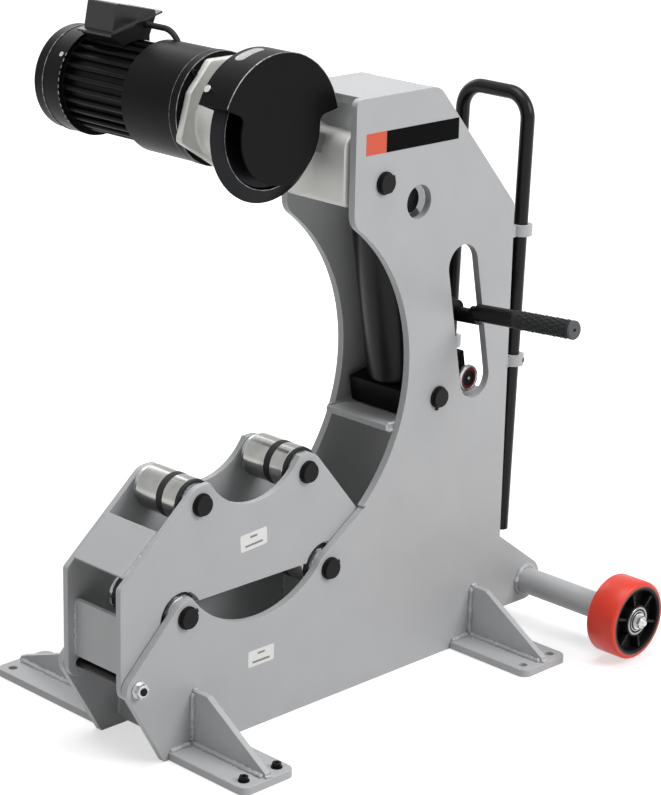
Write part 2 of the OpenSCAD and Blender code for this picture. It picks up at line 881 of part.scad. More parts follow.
module gearbox_housing() {
    at = [cutter_x, motor_z];
    color("#2a2a2c")
    difference() {
        union() {
            bar_y(at, ring_y, gearbox_end, 2 * gearbox_r);
            bar_y([cutter_x, layshaft_z], gearbox_end - 20, gearbox_end - 1, 2 * layshaft_d);
        }
        difference() {
            bar_y(at, ring_y - 1, gearbox_end - gearbox_back, 2 * (gearbox_r - gearbox_wall));
            bar_y([cutter_x, layshaft_z], gearbox_end - 20, gearbox_end - 1, 2 * layshaft_d);
        }
        bar_y([cutter_x, layshaft_z], gearbox_end - 21, gearbox_end - 8, layshaft_d + 2 * turn_fit);
        bar_y(at, gearbox_end - 21, gearbox_end + 1, rotor_shaft_d + 2 * turn_fit);
        cable_run(cable_d + 2 * pin_fit);
    }
}

// The sheet guard over the upper part of the cutter
module cutter_guard() {
    at = [cutter_x, cutter_z];
    color("#2a2a2c")
    difference() {
        union() {
            plate_xz(guard_front, guard_t) {
                translate(at) circle(r = guard_low_r);
                ring_sector(at, guard_low_r - 20, guard_r, guard_from, guard_to);
                guard_fillet(at, guard_from, -1);
                guard_fillet(at, guard_to, 1);
            }
            plate_xz(guard_front + guard_t - 1, neck_y - guard_front - 2 * guard_t + 2)
                ring_sector(at, guard_r - guard_t, guard_r, guard_from, guard_to);
            plate_xz(neck_y - guard_t, guard_t)
                ring_sector(at, guard_flange_r, guard_r, guard_from, guard_to);
        }
        for (turn = guard_screw_turns) on_guard_rim(turn)
            translate([0, 0, guard_r - 10]) cylinder(r = guard_screw_r + pin_fit, h = 20);
    }
}

// The round corner between an end of the guard's rim and its low round part
module guard_fillet(at, end, side) {
    turn = side * asin(guard_fillet_r / (guard_low_r + guard_fillet_r));
    centre = at + (guard_low_r + guard_fillet_r) * [cos(end + turn), sin(end + turn)];
    polygon(concat(arc(centre, guard_fillet_r, end - side * 90, end + turn - side * 180),
                   [at + (guard_low_r - 10) * [cos(end + turn), sin(end + turn)],
                    at + (guard_low_r - 10) * [cos(end), sin(end)]]));
}

module head_screws() {
    color("silver")
    for (at = flange_screws) {
        bar_y(at, boss_top_y - screw_head_t, boss_top_y, 2 * screw_head_r);
        bar_y(at, boss_top_y - 1, ring_y - 5, 2 * screw_r);
    }
    color("silver")
    for (turn = guard_screw_turns) on_guard_rim(turn) {
        translate([0, 0, guard_r]) cylinder(r = guard_screw_head_r, h = 3.5);
        translate([0, 0, guard_r - 9]) cylinder(r = guard_screw_r, h = 10);
    }
}

// Puts what is drawn along Z on the guard's rim, at an angle about the cutter's axis
module on_guard_rim(turn) {
    translate([cutter_x, neck_y - 8, cutter_z]) rotate([0, 90 - turn, 0]) children();
}

module motor_body() {
    at = [cutter_x, motor_z];
    color("#2a2a2c")
    difference() {
        union() {
            plate_xz(gearbox_end, motor_l) translate(at) {
                circle(r = fin_root_r);
                for (k = [0:fin_count - 1]) rotate(k * 360 / fin_count) {
                    translate([0, -fin_t / 2]) square([fin_r - fin_t / 2, fin_t]);
                    translate([fin_r - fin_t / 2, 0]) circle(d = fin_t, $fn = 16);
                }
            }
            bar_y(at, motor_end - 1, motor_end + spigot_l, 2 * (cowl_r - cowl_wall - pin_fit));
        }
        bar_y(at, gearbox_end + motor_wall, motor_end - motor_wall, 2 * (stator_r + pin_fit));
        bar_y(at, gearbox_end - 1, motor_end + spigot_l + 1, rotor_shaft_d + 2 * turn_fit);
    }
}

module stator() {
    color("#8b5a2b")
    ring_y([cutter_x, motor_z], gearbox_end + 22, motor_end - 22, 2 * stator_r, 2 * (rotor_r + 0.6));
}

module fan_cowl() {
    at = [cutter_x, motor_z];
    color("#2a2a2c")
    translate([at.x, motor_end, at.y]) rotate([-90, 0, 0]) difference() {
        cylinder(r1 = cowl_r + 1, r2 = cowl_r - 1, h = cowl_l);
        translate([0, 0, -1]) cylinder(r = cowl_r - cowl_wall, h = cowl_l - 3);
        for (k = [0:15]) rotate(k * 22.5) translate([26, -2.5, cowl_l - 5]) cube([34, 5, 6]);
    }
}

// Height of the sloping joint between the terminal box and its lid
function box_rim(x) = box_rim_z + (x - box_x0) * box_rim_rise;

module terminal_box() {
    color("#2a2a2c")
    difference() {
        plate_xz(box_y0, box_y1 - box_y0)
            polygon([[box_foot_x0, motor_z + 40], [box_foot_x1, motor_z + 40],
                     [box_foot_x1, box_foot_z], [box_x1, box_rim(box_x1)], [box_x0, box_rim(box_x0)],
                     [box_foot_x0, motor_z + 68]]);
        bar_y([cutter_x, motor_z], box_y0 - 1, box_y1 + 1, 2 * fin_r + 0.2);
    }
}

module terminal_lid() {
    lid_x0 = box_x0 - lid_lip;
    color("#2a2a2c") {
        plate_xz(box_y0 - lid_lip, box_y1 - box_y0 + 2 * lid_lip)
            polygon([[lid_x0, box_rim(lid_x0)], [lid_x1, box_rim(lid_x1)],
                     [lid_x1, box_rim(lid_x1) + lid_lip_t], [lid_x0, box_rim(lid_x0) + lid_lip_t]]);
        plate_xz(box_y0 + lid_inset, box_y1 - box_y0 - 2 * lid_inset) polygon(belt(lid_body));
    }
}

// The path of the lead: straight out of the terminal box, then bent down into the gearbox
module cable_run(d) {
    translate([cable_x, box_y0, cable_z]) rotate([90, 0, 0]) cylinder(d = d, h = box_y0 - cable_bend_y);
    translate([cable_x, cable_bend_y, cable_z - cable_bend_r]) rotate([0, -90, 180])
        rotate_extrude(angle = cable_turn) translate([cable_bend_r, 0]) circle(d = d);
}

// Short lead from the terminal box into the top of the gearbox
module motor_cable() {
    color("#1c1c1e") cable_run(cable_d);
}

module cutter_wheel() {
    at = [cutter_x, cutter_z];
    rim_r = cutter_d / 2 - cutter_bevel;
    half = [[cutter_bore_d / 2 + pin_fit, cutter_hub_y], [cutter_hub_r, cutter_hub_y],
            [cutter_hub_r, cutter_web], [rim_r - 2 * cutter_rim, cutter_web],
            [rim_r - cutter_rim, cutter_half_w], [rim_r, cutter_half_w], [cutter_d / 2, 0.5]];
    color("#232325")
    translate([at.x, 0, at.y]) rotate([90, 0, 0]) rotate_extrude()
        polygon(concat([for (i = [0:len(half) - 1]) [half[i].x, -half[i].y]],
                       [for (i = [len(half) - 1:-1:0]) half[i]]));
}

module cutter_shaft() {
    at = [cutter_x, cutter_z];
    color("silver") {
        bar_y(at, -cutter_hub_y, gear_y + gear_w + 2, cutter_bore_d);
        bar_y(at, cutter_hub_y, neck_y - gap, cutter_bore_d + 18);
        bar_y(at, guard_front + guard_t + 1, -cutter_hub_y + 1, cutter_bore_d - 8);
        bar_y(at, gear_y, gear_y + gear_w, 2 * cutter_gear_r);
    }
}

module cutter_nut() {
    at = [cutter_x, cutter_z];
    color("dimgray")
    difference() {
        translate([at.x, -cutter_hub_y, at.y]) rotate([90, 0, 0]) cylinder(d = 40, h = 12, $fn = 6);
        bar_y(at, -cutter_hub_y - 13, -cutter_hub_y + 1, cutter_bore_d - 8 + 2 * pin_fit);
    }
}

module layshaft() {
    at = [cutter_x, layshaft_z];
    color("silver") {
        bar_y(at, flange_y - 7, gearbox_end - 9, layshaft_d);
        bar_y(at, gear_y, gear_y + gear_w, 2 * pinion_r);
        bar_y(at, fast_gear_y, fast_gear_y + fast_gear_w, 2 * layshaft_gear_r);
    }
}

module rotor() {
    at = [cutter_x, motor_z];
    color("silver") {
        bar_y(at, fast_gear_y - 2, cowl_end - 16, rotor_shaft_d);
        bar_y(at, fast_gear_y - 2, fast_gear_y + fast_gear_w + 2, 2 * pinion_r);
        bar_y(at, gearbox_end + 24, motor_end - 24, 2 * rotor_r);
    }
}

module cooling_fan() {
    at = [cutter_x, motor_z];
    color("#3a3a3c")
    difference() {
        plate_xz(motor_end + 10, 26) translate(at) {
            circle(r = 20);
            for (k = [0:7]) rotate(k * 45) translate([16, -1.5]) square([fan_r - 16, 3]);
        }
        bar_y(at, motor_end, motor_end + 40, rotor_shaft_d + 2 * pin_fit);
    }
}

// Puts what is drawn along the jack's axis in its place on the lower pin
module on_jack() {
    translate([jack_x, 0, jack_z]) rotate([0, -jack_lean, 0]) children();
}

module jack_base() {
    color("#2a2a2c")
    on_jack() difference() {
        union() {
            translate([base_from_x, -base_half_y, base_low])
                cube([62 - base_from_x, 2 * base_half_y, barrel_z0 - base_low]);
            translate([61, -pump_half_y, base_low])
                cube([pump_offset - 61 + 22, 2 * pump_half_y, barrel_z0 - base_low]);
            translate([pump_offset, 0, 0]) cylinder(r = pump_post_r, h = pump_post_z);
            translate([pump_offset - cheek_x + 1, lever_pivot_y - 7, 0])
                cube([2 * cheek_x - 2, 14, lever_pivot_z]);
            translate([pump_offset, lever_pivot_y, lever_pivot_z]) rotate([0, 90, 0])
                cylinder(d = 14, h = 2 * cheek_x - 2, center = true);
            translate([pump_offset, lever_pivot_y, lever_pivot_z]) rotate([0, 90, 0])
                cylinder(d = lever_pin_d, h = 2 * (cheek_x + cheek_t + 2), center = true);
        }
        rotate([90, 0, 0]) cylinder(d = jack_pin_d + 2 * turn_fit, h = 4 * base_half_y, center = true);
        translate([pump_offset, 0, 10]) cylinder(d = plunger_d + 2 * turn_fit, h = pump_post_z);
        translate([knob_x, -pump_half_y - 1, knob_z]) rotate([-90, 0, 0])
            cylinder(d = 10 + 2 * turn_fit, h = 21);
    }
}

module jack_barrel() {
    color("#2a2a2c")
    on_jack() difference() {
        translate([0, 0, barrel_z0]) cylinder(d = barrel_d, h = barrel_z1 - barrel_z0);
        translate([0, 0, barrel_z0 + 12]) cylinder(d = ram_d + 2 * turn_fit, h = barrel_z1);
    }
}

module ram() {
    head_y = lug_gap_y + lug_t + 1;
    color("silver")
    on_jack() {
        translate([0, 0, barrel_z0 + 20]) cylinder(d = ram_d, h = jack_l - barrel_z0 - 20);
        translate([0, 0, jack_l]) rotate([90, 0, 0]) cylinder(d = ram_d, h = 2 * lug_gap_y - 3, center = true);
        translate([0, 0, jack_l]) rotate([90, 0, 0])
            cylinder(d = ram_pin_d, h = 2 * head_y, center = true);
        both_sides() translate([0, head_y + ram_head_t, jack_l]) rotate([90, 0, 0])
            cylinder(r = ram_head_r, h = ram_head_t);
    }
}

module plunger() {
    pin_z = lever_pivot_z + lever_pivot_y * tan(lever_tilt);
    color("silver")
    on_jack() translate([pump_offset, 0, 0]) {
        translate([0, 0, 24]) cylinder(d = plunger_d, h = pin_z - 24 - 12);
        translate([-cheek_x + 1, -6, pin_z - 14]) cube([2 * cheek_x - 2, 12, 18]);
        translate([0, 0, pin_z]) rotate([0, 90, 0]) cylinder(d = 8, h = 2 * (cheek_x + cheek_t + 1), center = true);
    }
}

// Puts what is drawn from the lever's hinge, along -Y, in its place on the jack
module on_lever() {
    on_jack() translate([pump_offset, lever_pivot_y, lever_pivot_z]) rotate([-lever_tilt, 0, 0]) children();
}

module lever_socket() {
    neck = lever_pivot_y + 20;
    color("#2a2a2c")
    on_lever() difference() {
        union() {
            for (side = [-1, 1])
                translate([side * (cheek_x + cheek_t / 2) - cheek_t / 2, 0, 0])
                    plate_yz(0, cheek_t) polygon(belt([[-neck - 6, 0, cheek_h], [0, 0, cheek_h]]));
            rotate([90, 0, 0]) {
                translate([0, 0, neck]) cylinder(d = lever_boss_d, h = lever_boss_l);
                translate([0, -rod_drop, neck]) cylinder(d = rod_d, h = tube_from - gap - neck);
                translate([0, 0, tube_from - 12]) cylinder(d = stub_d, h = stub_end - tube_from + 12);
            }
        }
        rotate([0, 90, 0]) cylinder(d = lever_pin_d + 2 * turn_fit, h = 60, center = true);
        plate_yz(-30, 60) polygon(belt([[-lever_pivot_y - 2.5, 0, 4.8], [-lever_pivot_y + 2.5, 0, 4.8]]));
    }
}

module lever_bar() {
    shoulder = lever_l + lever_pivot_y - grip_l;
    color("#2a2a2c")
    on_lever() rotate([90, 0, 0]) difference() {
        union() {
            translate([0, 0, tube_from]) cylinder(d = lever_d, h = shoulder - tube_from);
            translate([0, 0, shoulder - 1]) cylinder(d = grip_bar_d, h = grip_l - 19);
        }
        translate([0, 0, tube_from - 1]) cylinder(d = stub_d + 2 * pin_fit, h = stub_end - tube_from + 2);
    }
}

module lever_grip() {
    color("#1c1c1e")
    on_lever() translate([0, -lever_l + grip_l - lever_pivot_y, 0]) rotate([90, 0, 0]) difference() {
        cylinder(r = grip_r, h = grip_l);
        translate([0, 0, -1]) cylinder(d = grip_bar_d + 2 * pin_fit, h = grip_l - 5);
    }
}

module release_knob() {
    color("#1c1c1e")
    on_jack() translate([knob_x, -pump_half_y - gap, knob_z]) {
        rotate([90, 0, 0]) cylinder(r = knob_neck_r, h = knob_neck_l);
        rotate([90, 0, 0]) translate([0, 0, knob_neck_l - 1]) cylinder(r = knob_r, h = knob_t + 1);
        rotate([-90, 0, 0]) cylinder(d = 10, h = 18);
    }
}

near_side_plate();
far_side_plate();
top_cover();
jack_shelf();
front_cross_plate();
cradle_rest();
near_feet();
far_feet();
foot_gussets();
axle_tube();
axle_studs();
axle_nuts();
handle_rings();
pin_caps();
frame_pins();
base_roller_shafts();
base_roller_rings();
cradle_pivot_rod();
cradle_pivot_nuts();
near_wheel_tyre();
near_wheel_hub();
far_wheel_tyre();
far_wheel_hub();
base_front_roller();
base_rear_roller();
cradle_front_roller();
cradle_rear_roller();
cradle_near_plate();
cradle_far_plate();
cradle_slope_plate();
cradle_front_plate();
cradle_roller_shafts();
cradle_roller_rings();
cradle_pin_caps();
tow_handle();
head_arm();
gearbox_flange();
gearbox_housing();
cutter_guard();
head_screws();
motor_body();
stator();
fan_cowl();
terminal_box();
terminal_lid();
motor_cable();
cutter_wheel();
cutter_shaft();
cutter_nut();
layshaft();
rotor();
cooling_fan();
jack_base();
jack_barrel();
ram();
plunger();
lever_socket();
lever_bar();
lever_grip();
release_knob();
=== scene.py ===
import json
import math
import random

import bpy
from mathutils import Matrix, Vector

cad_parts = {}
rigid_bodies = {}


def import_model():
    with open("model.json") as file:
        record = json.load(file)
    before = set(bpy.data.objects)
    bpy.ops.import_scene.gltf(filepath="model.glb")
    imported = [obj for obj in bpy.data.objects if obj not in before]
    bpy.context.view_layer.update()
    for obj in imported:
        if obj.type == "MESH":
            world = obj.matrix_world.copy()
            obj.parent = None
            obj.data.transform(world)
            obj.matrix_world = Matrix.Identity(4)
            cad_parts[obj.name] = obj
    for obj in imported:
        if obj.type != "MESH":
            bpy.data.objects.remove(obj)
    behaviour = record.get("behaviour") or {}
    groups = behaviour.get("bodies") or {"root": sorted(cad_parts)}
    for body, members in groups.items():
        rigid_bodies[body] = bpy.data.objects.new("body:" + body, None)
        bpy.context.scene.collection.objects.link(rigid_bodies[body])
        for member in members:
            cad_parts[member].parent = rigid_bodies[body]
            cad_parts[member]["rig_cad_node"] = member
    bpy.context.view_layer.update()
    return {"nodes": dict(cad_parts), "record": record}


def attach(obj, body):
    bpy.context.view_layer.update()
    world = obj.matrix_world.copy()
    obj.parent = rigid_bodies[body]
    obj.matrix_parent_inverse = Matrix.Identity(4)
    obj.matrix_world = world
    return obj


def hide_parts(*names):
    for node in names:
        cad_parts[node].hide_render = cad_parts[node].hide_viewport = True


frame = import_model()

MM = 0.001

# Studio
# A pale floor under soft lamps, with the camera where the photographer stood, low at the
# front on the lever side, with a long lens.


def linear(code):
    """Linear colour of an sRGB hex code."""
    parts = [int(code[i:i + 2], 16) / 255 for i in (1, 3, 5)]
    parts = [p / 12.92 if p <= 0.04045 else ((p + 0.055) / 1.055) ** 2.4 for p in parts]
    return (*parts, 1)


def add(tree, kind, inputs=None, **settings):
    """Adds one node with its settings, and sets or links its inputs."""
    made = tree.nodes.new("ShaderNode" + kind)
    for name, value in settings.items():
        setattr(made, name, value)
    for key, value in (inputs or {}).items():
        if isinstance(value, bpy.types.NodeSocket):
            tree.links.new(value, made.inputs[key])
        else:
            made.inputs[key].default_value = value
    return made


camera = bpy.data.objects.new("camera", bpy.data.cameras.new("camera"))
bpy.context.scene.collection.objects.link(camera)
camera_right = Vector((0.70918, -0.70471, 0.02125))
camera_up = Vector((0.20231, 0.23228, 0.95138))
camera_back = Vector((-0.67538, -0.67040, 0.30729))
camera.matrix_world = (Matrix.Translation((-2.4789, -2.5015, 1.5862))
                       @ Matrix((camera_right, camera_up, camera_back)).transposed().to_4x4())
camera.data.lens = 113.79
camera.data.sensor_width = 36
camera.data.clip_end = 60
bpy.context.scene.camera = camera

bpy.ops.object.select_all(action="DESELECT")
bpy.ops.mesh.primitive_plane_add(size=40, location=(0, 0, -0.0004))
floor = bpy.context.active_object
floor.name = "studio_floor"
floor.data.materials.append(bpy.data.materials.new("matt white studio floor"))
floor_material = floor.data.materials[0]
floor_material.use_nodes = True
floor_tree = floor_material.node_tree
floor_shader = floor_tree.nodes["Principled BSDF"]
floor_shader.inputs["Base Color"].default_value = linear("#D2D2D2")
floor_shader.inputs["Roughness"].default_value = 0.95
floor_shader.inputs["Specular IOR Level"].default_value = 0.0
floor_shader.inputs["Emission Color"].default_value = linear("#FFFFFF")

world = bpy.data.worlds.new("white surround")
bpy.context.scene.world = world
world.use_nodes = True
world_tree = world.node_tree
ray = add(world_tree, "LightPath")
mirrored = add(world_tree, "Math", {0: ray.outputs["Is Glossy Ray"],
                                    1: ray.outputs["Is Transmission Ray"]}, operation="MAXIMUM")
seen = add(world_tree, "Math", {0: ray.outputs["Is Camera Ray"], 1: mirrored.outputs[0]},
           operation="MAXIMUM")
# The floor turns into the white surround a metre and more away from the machine
floor_ray = add(floor_tree, "LightPath")
floor_mirrored = add(floor_tree, "Math", {0: floor_ray.outputs["Is Glossy Ray"],
                                          1: floor_ray.outputs["Is Transmission Ray"]},
                     operation="MAXIMUM")
floor_seen = add(floor_tree, "Math", {0: floor_ray.outputs["Is Camera Ray"],
                                      1: floor_mirrored.outputs[0]}, operation="MAXIMUM")
floor_place = add(floor_tree, "TexCoord").outputs["Object"]
floor_reach = add(floor_tree, "VectorMath", {0: floor_place}, operation="LENGTH")
floor_far = add(floor_tree, "MapRange", {"Value": floor_reach.outputs["Value"], "From Min": 0.55,
                                         "From Max": 1.5, "To Min": 0.6},
                interpolation_type="SMOOTHSTEP")
floor_white = add(floor_tree, "Math", {0: floor_far.outputs["Result"],
                                       1: floor_seen.outputs[0]}, operation="MULTIPLY")
floor_tree.links.new(floor_white.outputs[0], floor_shader.inputs["Emission Strength"])
surround = world_tree.nodes["Background"]
surround.inputs["Color"].default_value = linear("#FFFFFF")
strength = add(world_tree, "MapRange", {"Value": seen.outputs[0], "To Min": 0.14, "To Max": 1.0})
world_tree.links.new(strength.outputs["Result"], surround.inputs["Strength"])

# Each lamp's place, target and width in metres, and its power in watts
lamps = {
    "key_lamp": ((1.8, -4.2, 3.4), (0.0, 0.0, 0.45), 2.6, 168),
    "front_lamp": ((-4.2, -0.6, 1.8), (0.0, 0.0, 0.4), 1.8, 1.5),
    "top_lamp": ((-0.4, 0.2, 5.0), (0.0, 0.0, 0.5), 3.0, 155),
    "back_lamp": ((1.2, 3.8, 2.4), (0.0, 0.0, 0.5), 2.0, 30),
}
for name, (place, target, size, power) in lamps.items():
    lamp = bpy.data.objects.new(name, bpy.data.lights.new(name, "AREA"))
    lamp.data.size = size
    lamp.data.energy = power
    lamp.location = place
    lamp.rotation_mode = "QUATERNION"
    lamp.rotation_quaternion = (Vector(target) - Vector(place)).to_track_quat("-Z", "Y")
    bpy.context.scene.collection.objects.link(lamp)
bpy.context.scene.view_settings.view_transform = "Standard"

# Side plates, top cover, shelf and cross members
# Structural steel plate, flame or laser cut with a slightly broken edge, welded and then
# sprayed with light grey alkyd machine enamel.

body_of = {node: body for body, nodes in frame["record"]["behaviour"]["bodies"].items()
           for node in nodes}


def new_finish(name, slot, roughness):
    """A material with the record's slot that it stands for, and its tree and shader."""
    material = bpy.data.materials.new(name)
    material.use_nodes = True
    material["slot"] = slot
    shader = material.node_tree.nodes["Principled BSDF"]
    shader.inputs["Roughness"].default_value = roughness
    return material, material.node_tree, shader


def sprayed(name, slot, tone, shade, roughness, peel=2.4, depth=0.05, sheen=0.5):
    """Paint with clouds of tone 70 mm wide, and orange peel and depth in millimetres."""
    material, tree, shader = new_finish(name, slot, roughness)
    shader.inputs["Specular IOR Level"].default_value = sheen
    place = add(tree, "TexCoord").outputs["Object"]
    cloud = add(tree, "TexNoise", {"Vector": place, "Scale": 1 / (70 * MM), "Detail": 3.0})
    tint = add(tree, "Mix", {0: cloud.outputs["Fac"], 6: linear(shade), 7: linear(tone)},
               data_type="RGBA")
    gloss = add(tree, "MapRange", {"Value": cloud.outputs["Fac"], "To Min": roughness - 0.05,
                                   "To Max": roughness + 0.06})
    skin = add(tree, "TexNoise", {"Vector": place, "Scale": 1 / (peel * MM), "Detail": 2.0})
    bump = add(tree, "Bump", {"Height": skin.outputs["Fac"], "Strength": 0.35,
                              "Distance": depth * MM})
    tree.links.new(tint.outputs[2], shader.inputs["Base Color"])
    tree.links.new(gloss.outputs["Result"], shader.inputs["Roughness"])
    tree.links.new(bump.outputs["Normal"], shader.inputs["Normal"])
    return material


# Semi-gloss alkyd enamel, sprayed: even light grey with a faint orange peel
grey_enamel = sprayed("light grey alkyd enamel", "grey_paint", "#BFC0C1", "#B5B6B8", 0.42)


def hang(piece, name, finish, body, *nodes):
    """Names and finishes a piece, hangs it on its body and hides the nodes it stands for."""
    piece.name = name
    piece.data.materials.clear()
    piece.data.materials.append(finish)
    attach(piece, body)
    if nodes:
        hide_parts(*nodes)
    return piece


# An edge that bends by more than this is sharp
SHARP = math.radians(35)


def finish_edges(piece, edge, steps=2, sharp=SHARP):
    """Rounds a piece's edges for good, edge in the piece's own units."""
    bpy.ops.object.mode_set(mode="OBJECT")
    bpy.ops.object.shade_smooth_by_angle(angle=sharp)
    rounding = piece.modifiers.new("edges", "BEVEL")
    rounding.width = edge
    rounding.segments = steps
    rounding.limit_method = "ANGLE"
    rounding.angle_limit = sharp
    rounding.harden_normals = True
    bpy.ops.object.modifier_apply(modifier=rounding.name)


def dress(node, finish, edge=1.0, steps=2):
    """Shows a copy of a CAD node with its edges rounded, edge in millimetres."""
    bpy.ops.object.select_all(action="DESELECT")
    source = frame["nodes"][node]
    source.select_set(True)
    bpy.context.view_layer.objects.active = source
    bpy.ops.object.duplicate()
    piece = bpy.context.active_object
    del piece["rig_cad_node"]
    piece.parent = None
    bpy.ops.object.mode_set(mode="EDIT")
    bpy.ops.mesh.select_all(action="SELECT")
    bpy.ops.mesh.customdata_custom_splitnormals_clear()
    bpy.ops.mesh.remove_doubles(threshold=0.00002)
    bpy.ops.mesh.dissolve_limited(angle_limit=math.radians(0.5))
    bpy.ops.object.mode_set(mode="OBJECT")
    if edge:
        finish_edges(piece, edge * MM, steps)
    else:
        bpy.ops.object.shade_smooth_by_angle(angle=SHARP)
    return hang(piece, node + "_finish", finish, body_of[node], node)


for plate in ("near_side_plate", "far_side_plate"):
    dress(plate, grey_enamel, 1.4, 3)
for plate in ("top_cover", "jack_shelf", "front_cross_plate", "cradle_rest"):
    dress(plate, grey_enamel, 1.0)

# Feet and gussets
# Steel plates with rounded corners and bolt holes, welded square to the side plates and
# stiffened by triangular gussets. Two bolts stand in the front foot on the lever side.

for plate in ("near_feet", "far_feet"):
    dress(plate, grey_enamel, 1.6, 3)
dress("foot_gussets", grey_enamel, 1.6, 3)

# Black-oxide screws: dark steel with a slight oil sheen
black_oxide, oxide_tree, oxide_shader = new_finish("oiled black oxide steel", "black_oxide", 0.38)
oxide_shader.inputs["Metallic"].default_value = 0.85
oxide_place = add(oxide_tree, "TexCoord").outputs["Object"]
oxide_grain = add(oxide_tree, "TexNoise", {"Vector": oxide_place, "Scale": 1 / (3 * MM),
                                           "Detail": 4.0})
oxide_tint = add(oxide_tree, "Mix", {0: oxide_grain.outputs["Fac"], 6: linear("#161618"),
                                     7: linear("#222325")}, data_type="RGBA")
oxide_gloss = add(oxide_tree, "MapRange", {"Value": oxide_grain.outputs["Fac"], "To Min": 0.3,
                                           "To Max": 0.48})
oxide_tree.links.new(oxide_tint.outputs[2], oxide_shader.inputs["Base Color"])
oxide_tree.links.new(oxide_gloss.outputs["Result"], oxide_shader.inputs["Roughness"])


def pick_faces(piece, test):
    """Selects only the faces whose centre and normal pass a test, in edit mode."""
    bpy.ops.object.mode_set(mode="OBJECT")
    for part in (piece.data.vertices, piece.data.edges, piece.data.polygons):
        part.foreach_set("select", [False] * len(part))
    for face in piece.data.polygons:
        face.select = test(face.center, face.normal)
    bpy.ops.object.mode_set(mode="EDIT")
    bpy.ops.mesh.select_mode(type="FACE")


def seat(piece, at, turn=None):
    """Moves a piece made about the origin in millimetres to its place, in metres."""
    turn = turn if turn is not None else Matrix.Identity(4)
    place = Matrix.Translation(Vector(at) * MM) @ turn @ Matrix.Scale(MM, 4)
    piece.data.transform(place @ piece.matrix_world)
    piece.matrix_world = Matrix.Identity(4)
    return piece


def screw(across, height, socket, sides=6):
    """A screw head standing on its face, with a socket of that radius, in millimetres."""
    bpy.ops.object.select_all(action="DESELECT")
    bpy.ops.mesh.primitive_cylinder_add(vertices=sides, radius=across / 2, depth=height,
                                        location=(0, 0, height / 2))
    bpy.ops.object.transform_apply(location=True, rotation=False, scale=False)
    piece = bpy.context.active_object
    pick_faces(piece, lambda centre, normal: normal.z > 0.9)
    bpy.ops.mesh.inset(thickness=across / 2 - socket)
    bpy.ops.mesh.extrude_region_move(TRANSFORM_OT_translate={"value": (0, 0, -height * 0.55)})
    finish_edges(piece, height * 0.09, 2, math.radians(40) if sides < 12 else SHARP)
    return piece


def together(pieces, name, finish, body, *nodes):
    """Joins pieces into one and hangs it."""
    bpy.ops.object.select_all(action="DESELECT")
    for piece in pieces:
        piece.select_set(True)
    bpy.context.view_layer.objects.active = pieces[0]
    if len(pieces) > 1:
        bpy.ops.object.join()
    return hang(bpy.context.active_object, name, finish, body, *nodes)


foot_top = 12
bolt_y = -211
washer_t = 1.5
bolts = []
for bolt_x in (-325, -262):
    bolts.append(seat(screw(14.0, 6.0, 3.4), (bolt_x, bolt_y, foot_top + washer_t)))
    bolts.append(seat(screw(17.0, washer_t, 5.0, 32), (bolt_x, bolt_y, foot_top)))
together(bolts, "near_foot_bolts", black_oxide, "frame")

# Weld beads
# Fillet welds in short overlapping puddles, painted over with the same grey enamel. They
# run where gussets, feet, cross members and the axle tube meet the side plates.

weld_steps = random.Random(11)


def along(run, pitch=3.0):
    """Points every pitch millimetres along a run of straight stretches."""
    points = []
    for start, end in zip(run, run[1:]):
        start, end = Vector(start), Vector(end)
        count = max(1, round((end - start).length / pitch))
        points += [start.lerp(end, k / count) for k in range(count)]
    return points + [Vector(run[-1])]


def beads(runs, name, body, radius):
    """Lays rippled beads along runs of points in millimetres, as one mesh."""
    curve = bpy.data.curves.new(name, "CURVE")
    curve.dimensions = "3D"
    curve.bevel_depth = radius * MM
    curve.bevel_resolution = 1
    curve.use_fill_caps = True
    for run in runs:
        points = along(run)
        spline = curve.splines.new("POLY")
        spline.points.add(len(points) - 1)
        for k, (dot, at) in enumerate(zip(spline.points, points)):
            swell = (1.16 if k % 2 else 0.78) + weld_steps.uniform(-0.2, 0.2)
            drift = Vector([weld_steps.uniform(-0.7, 0.7) for _ in range(3)])
            dot.co = (*((at + drift) * MM), 1)
            dot.radius = swell * (0.6 if k in (0, len(points) - 1) else 1)
    piece = bpy.data.objects.new(name, curve)
    bpy.context.scene.collection.objects.link(piece)
    bpy.ops.object.select_all(action="DESELECT")
    piece.select_set(True)
    bpy.context.view_layer.objects.active = piece
    bpy.ops.object.convert(target="MESH")
    piece = bpy.context.active_object
    bpy.ops.object.shade_smooth()
    return hang(piece, name, grey_weld, body)


def ring_run(x, y, z, radius, steps=48):
    """A closed run round an axis along Y."""
    return [(x + radius * math.cos(math.tau * k / steps), y,
             z + radius * math.sin(math.tau * k / steps)) for k in range(steps + 1)]


# Enamel over a weld: the same grey, with the ripples catching more light
grey_weld = sprayed("light grey enamel on weld", "grey_paint", "#D8D9DA", "#A4A5A7", 0.3, 2.4,
                    0.35)

# Places in millimetres: the plates' outer and inner faces, the gussets and their toes
outer_y = 75
inner_y = 63
gusset_x = 293.5
gusset_half = 5
gusset_top = 91
near_toe, far_toe = 226, 318
foot_half = 47
bead_z = foot_top + 1
foot_runs = []
for side, toe in ((-1, near_toe), (1, far_toe)):
    for x in (-gusset_x, gusset_x):
        y = side * outer_y
        for face in (x - gusset_half - 1, x + gusset_half + 1):
            foot_runs.append([(face, y + side * 1.5, gusset_top), (face, y + side * 1.5, bead_z + 2),
                              (face, y + side * 5, bead_z), (face, side * (toe - 3), bead_z)])
        start, end = x - gusset_half, x + gusset_half
        foot_runs.append([(start, y + side * 1.5, gusset_top + 3.5),
                          (end, y + side * 1.5, gusset_top + 3.5)])
        foot_runs.append([(start, side * (toe + 1), bead_z), (end, side * (toe + 1), bead_z)])
        foot_runs.append([(x - foot_half, y + side, bead_z), (x - 9, y + side, bead_z)])
        foot_runs.append([(x + 9, y + side, bead_z), (x + foot_half, y + side, bead_z)])
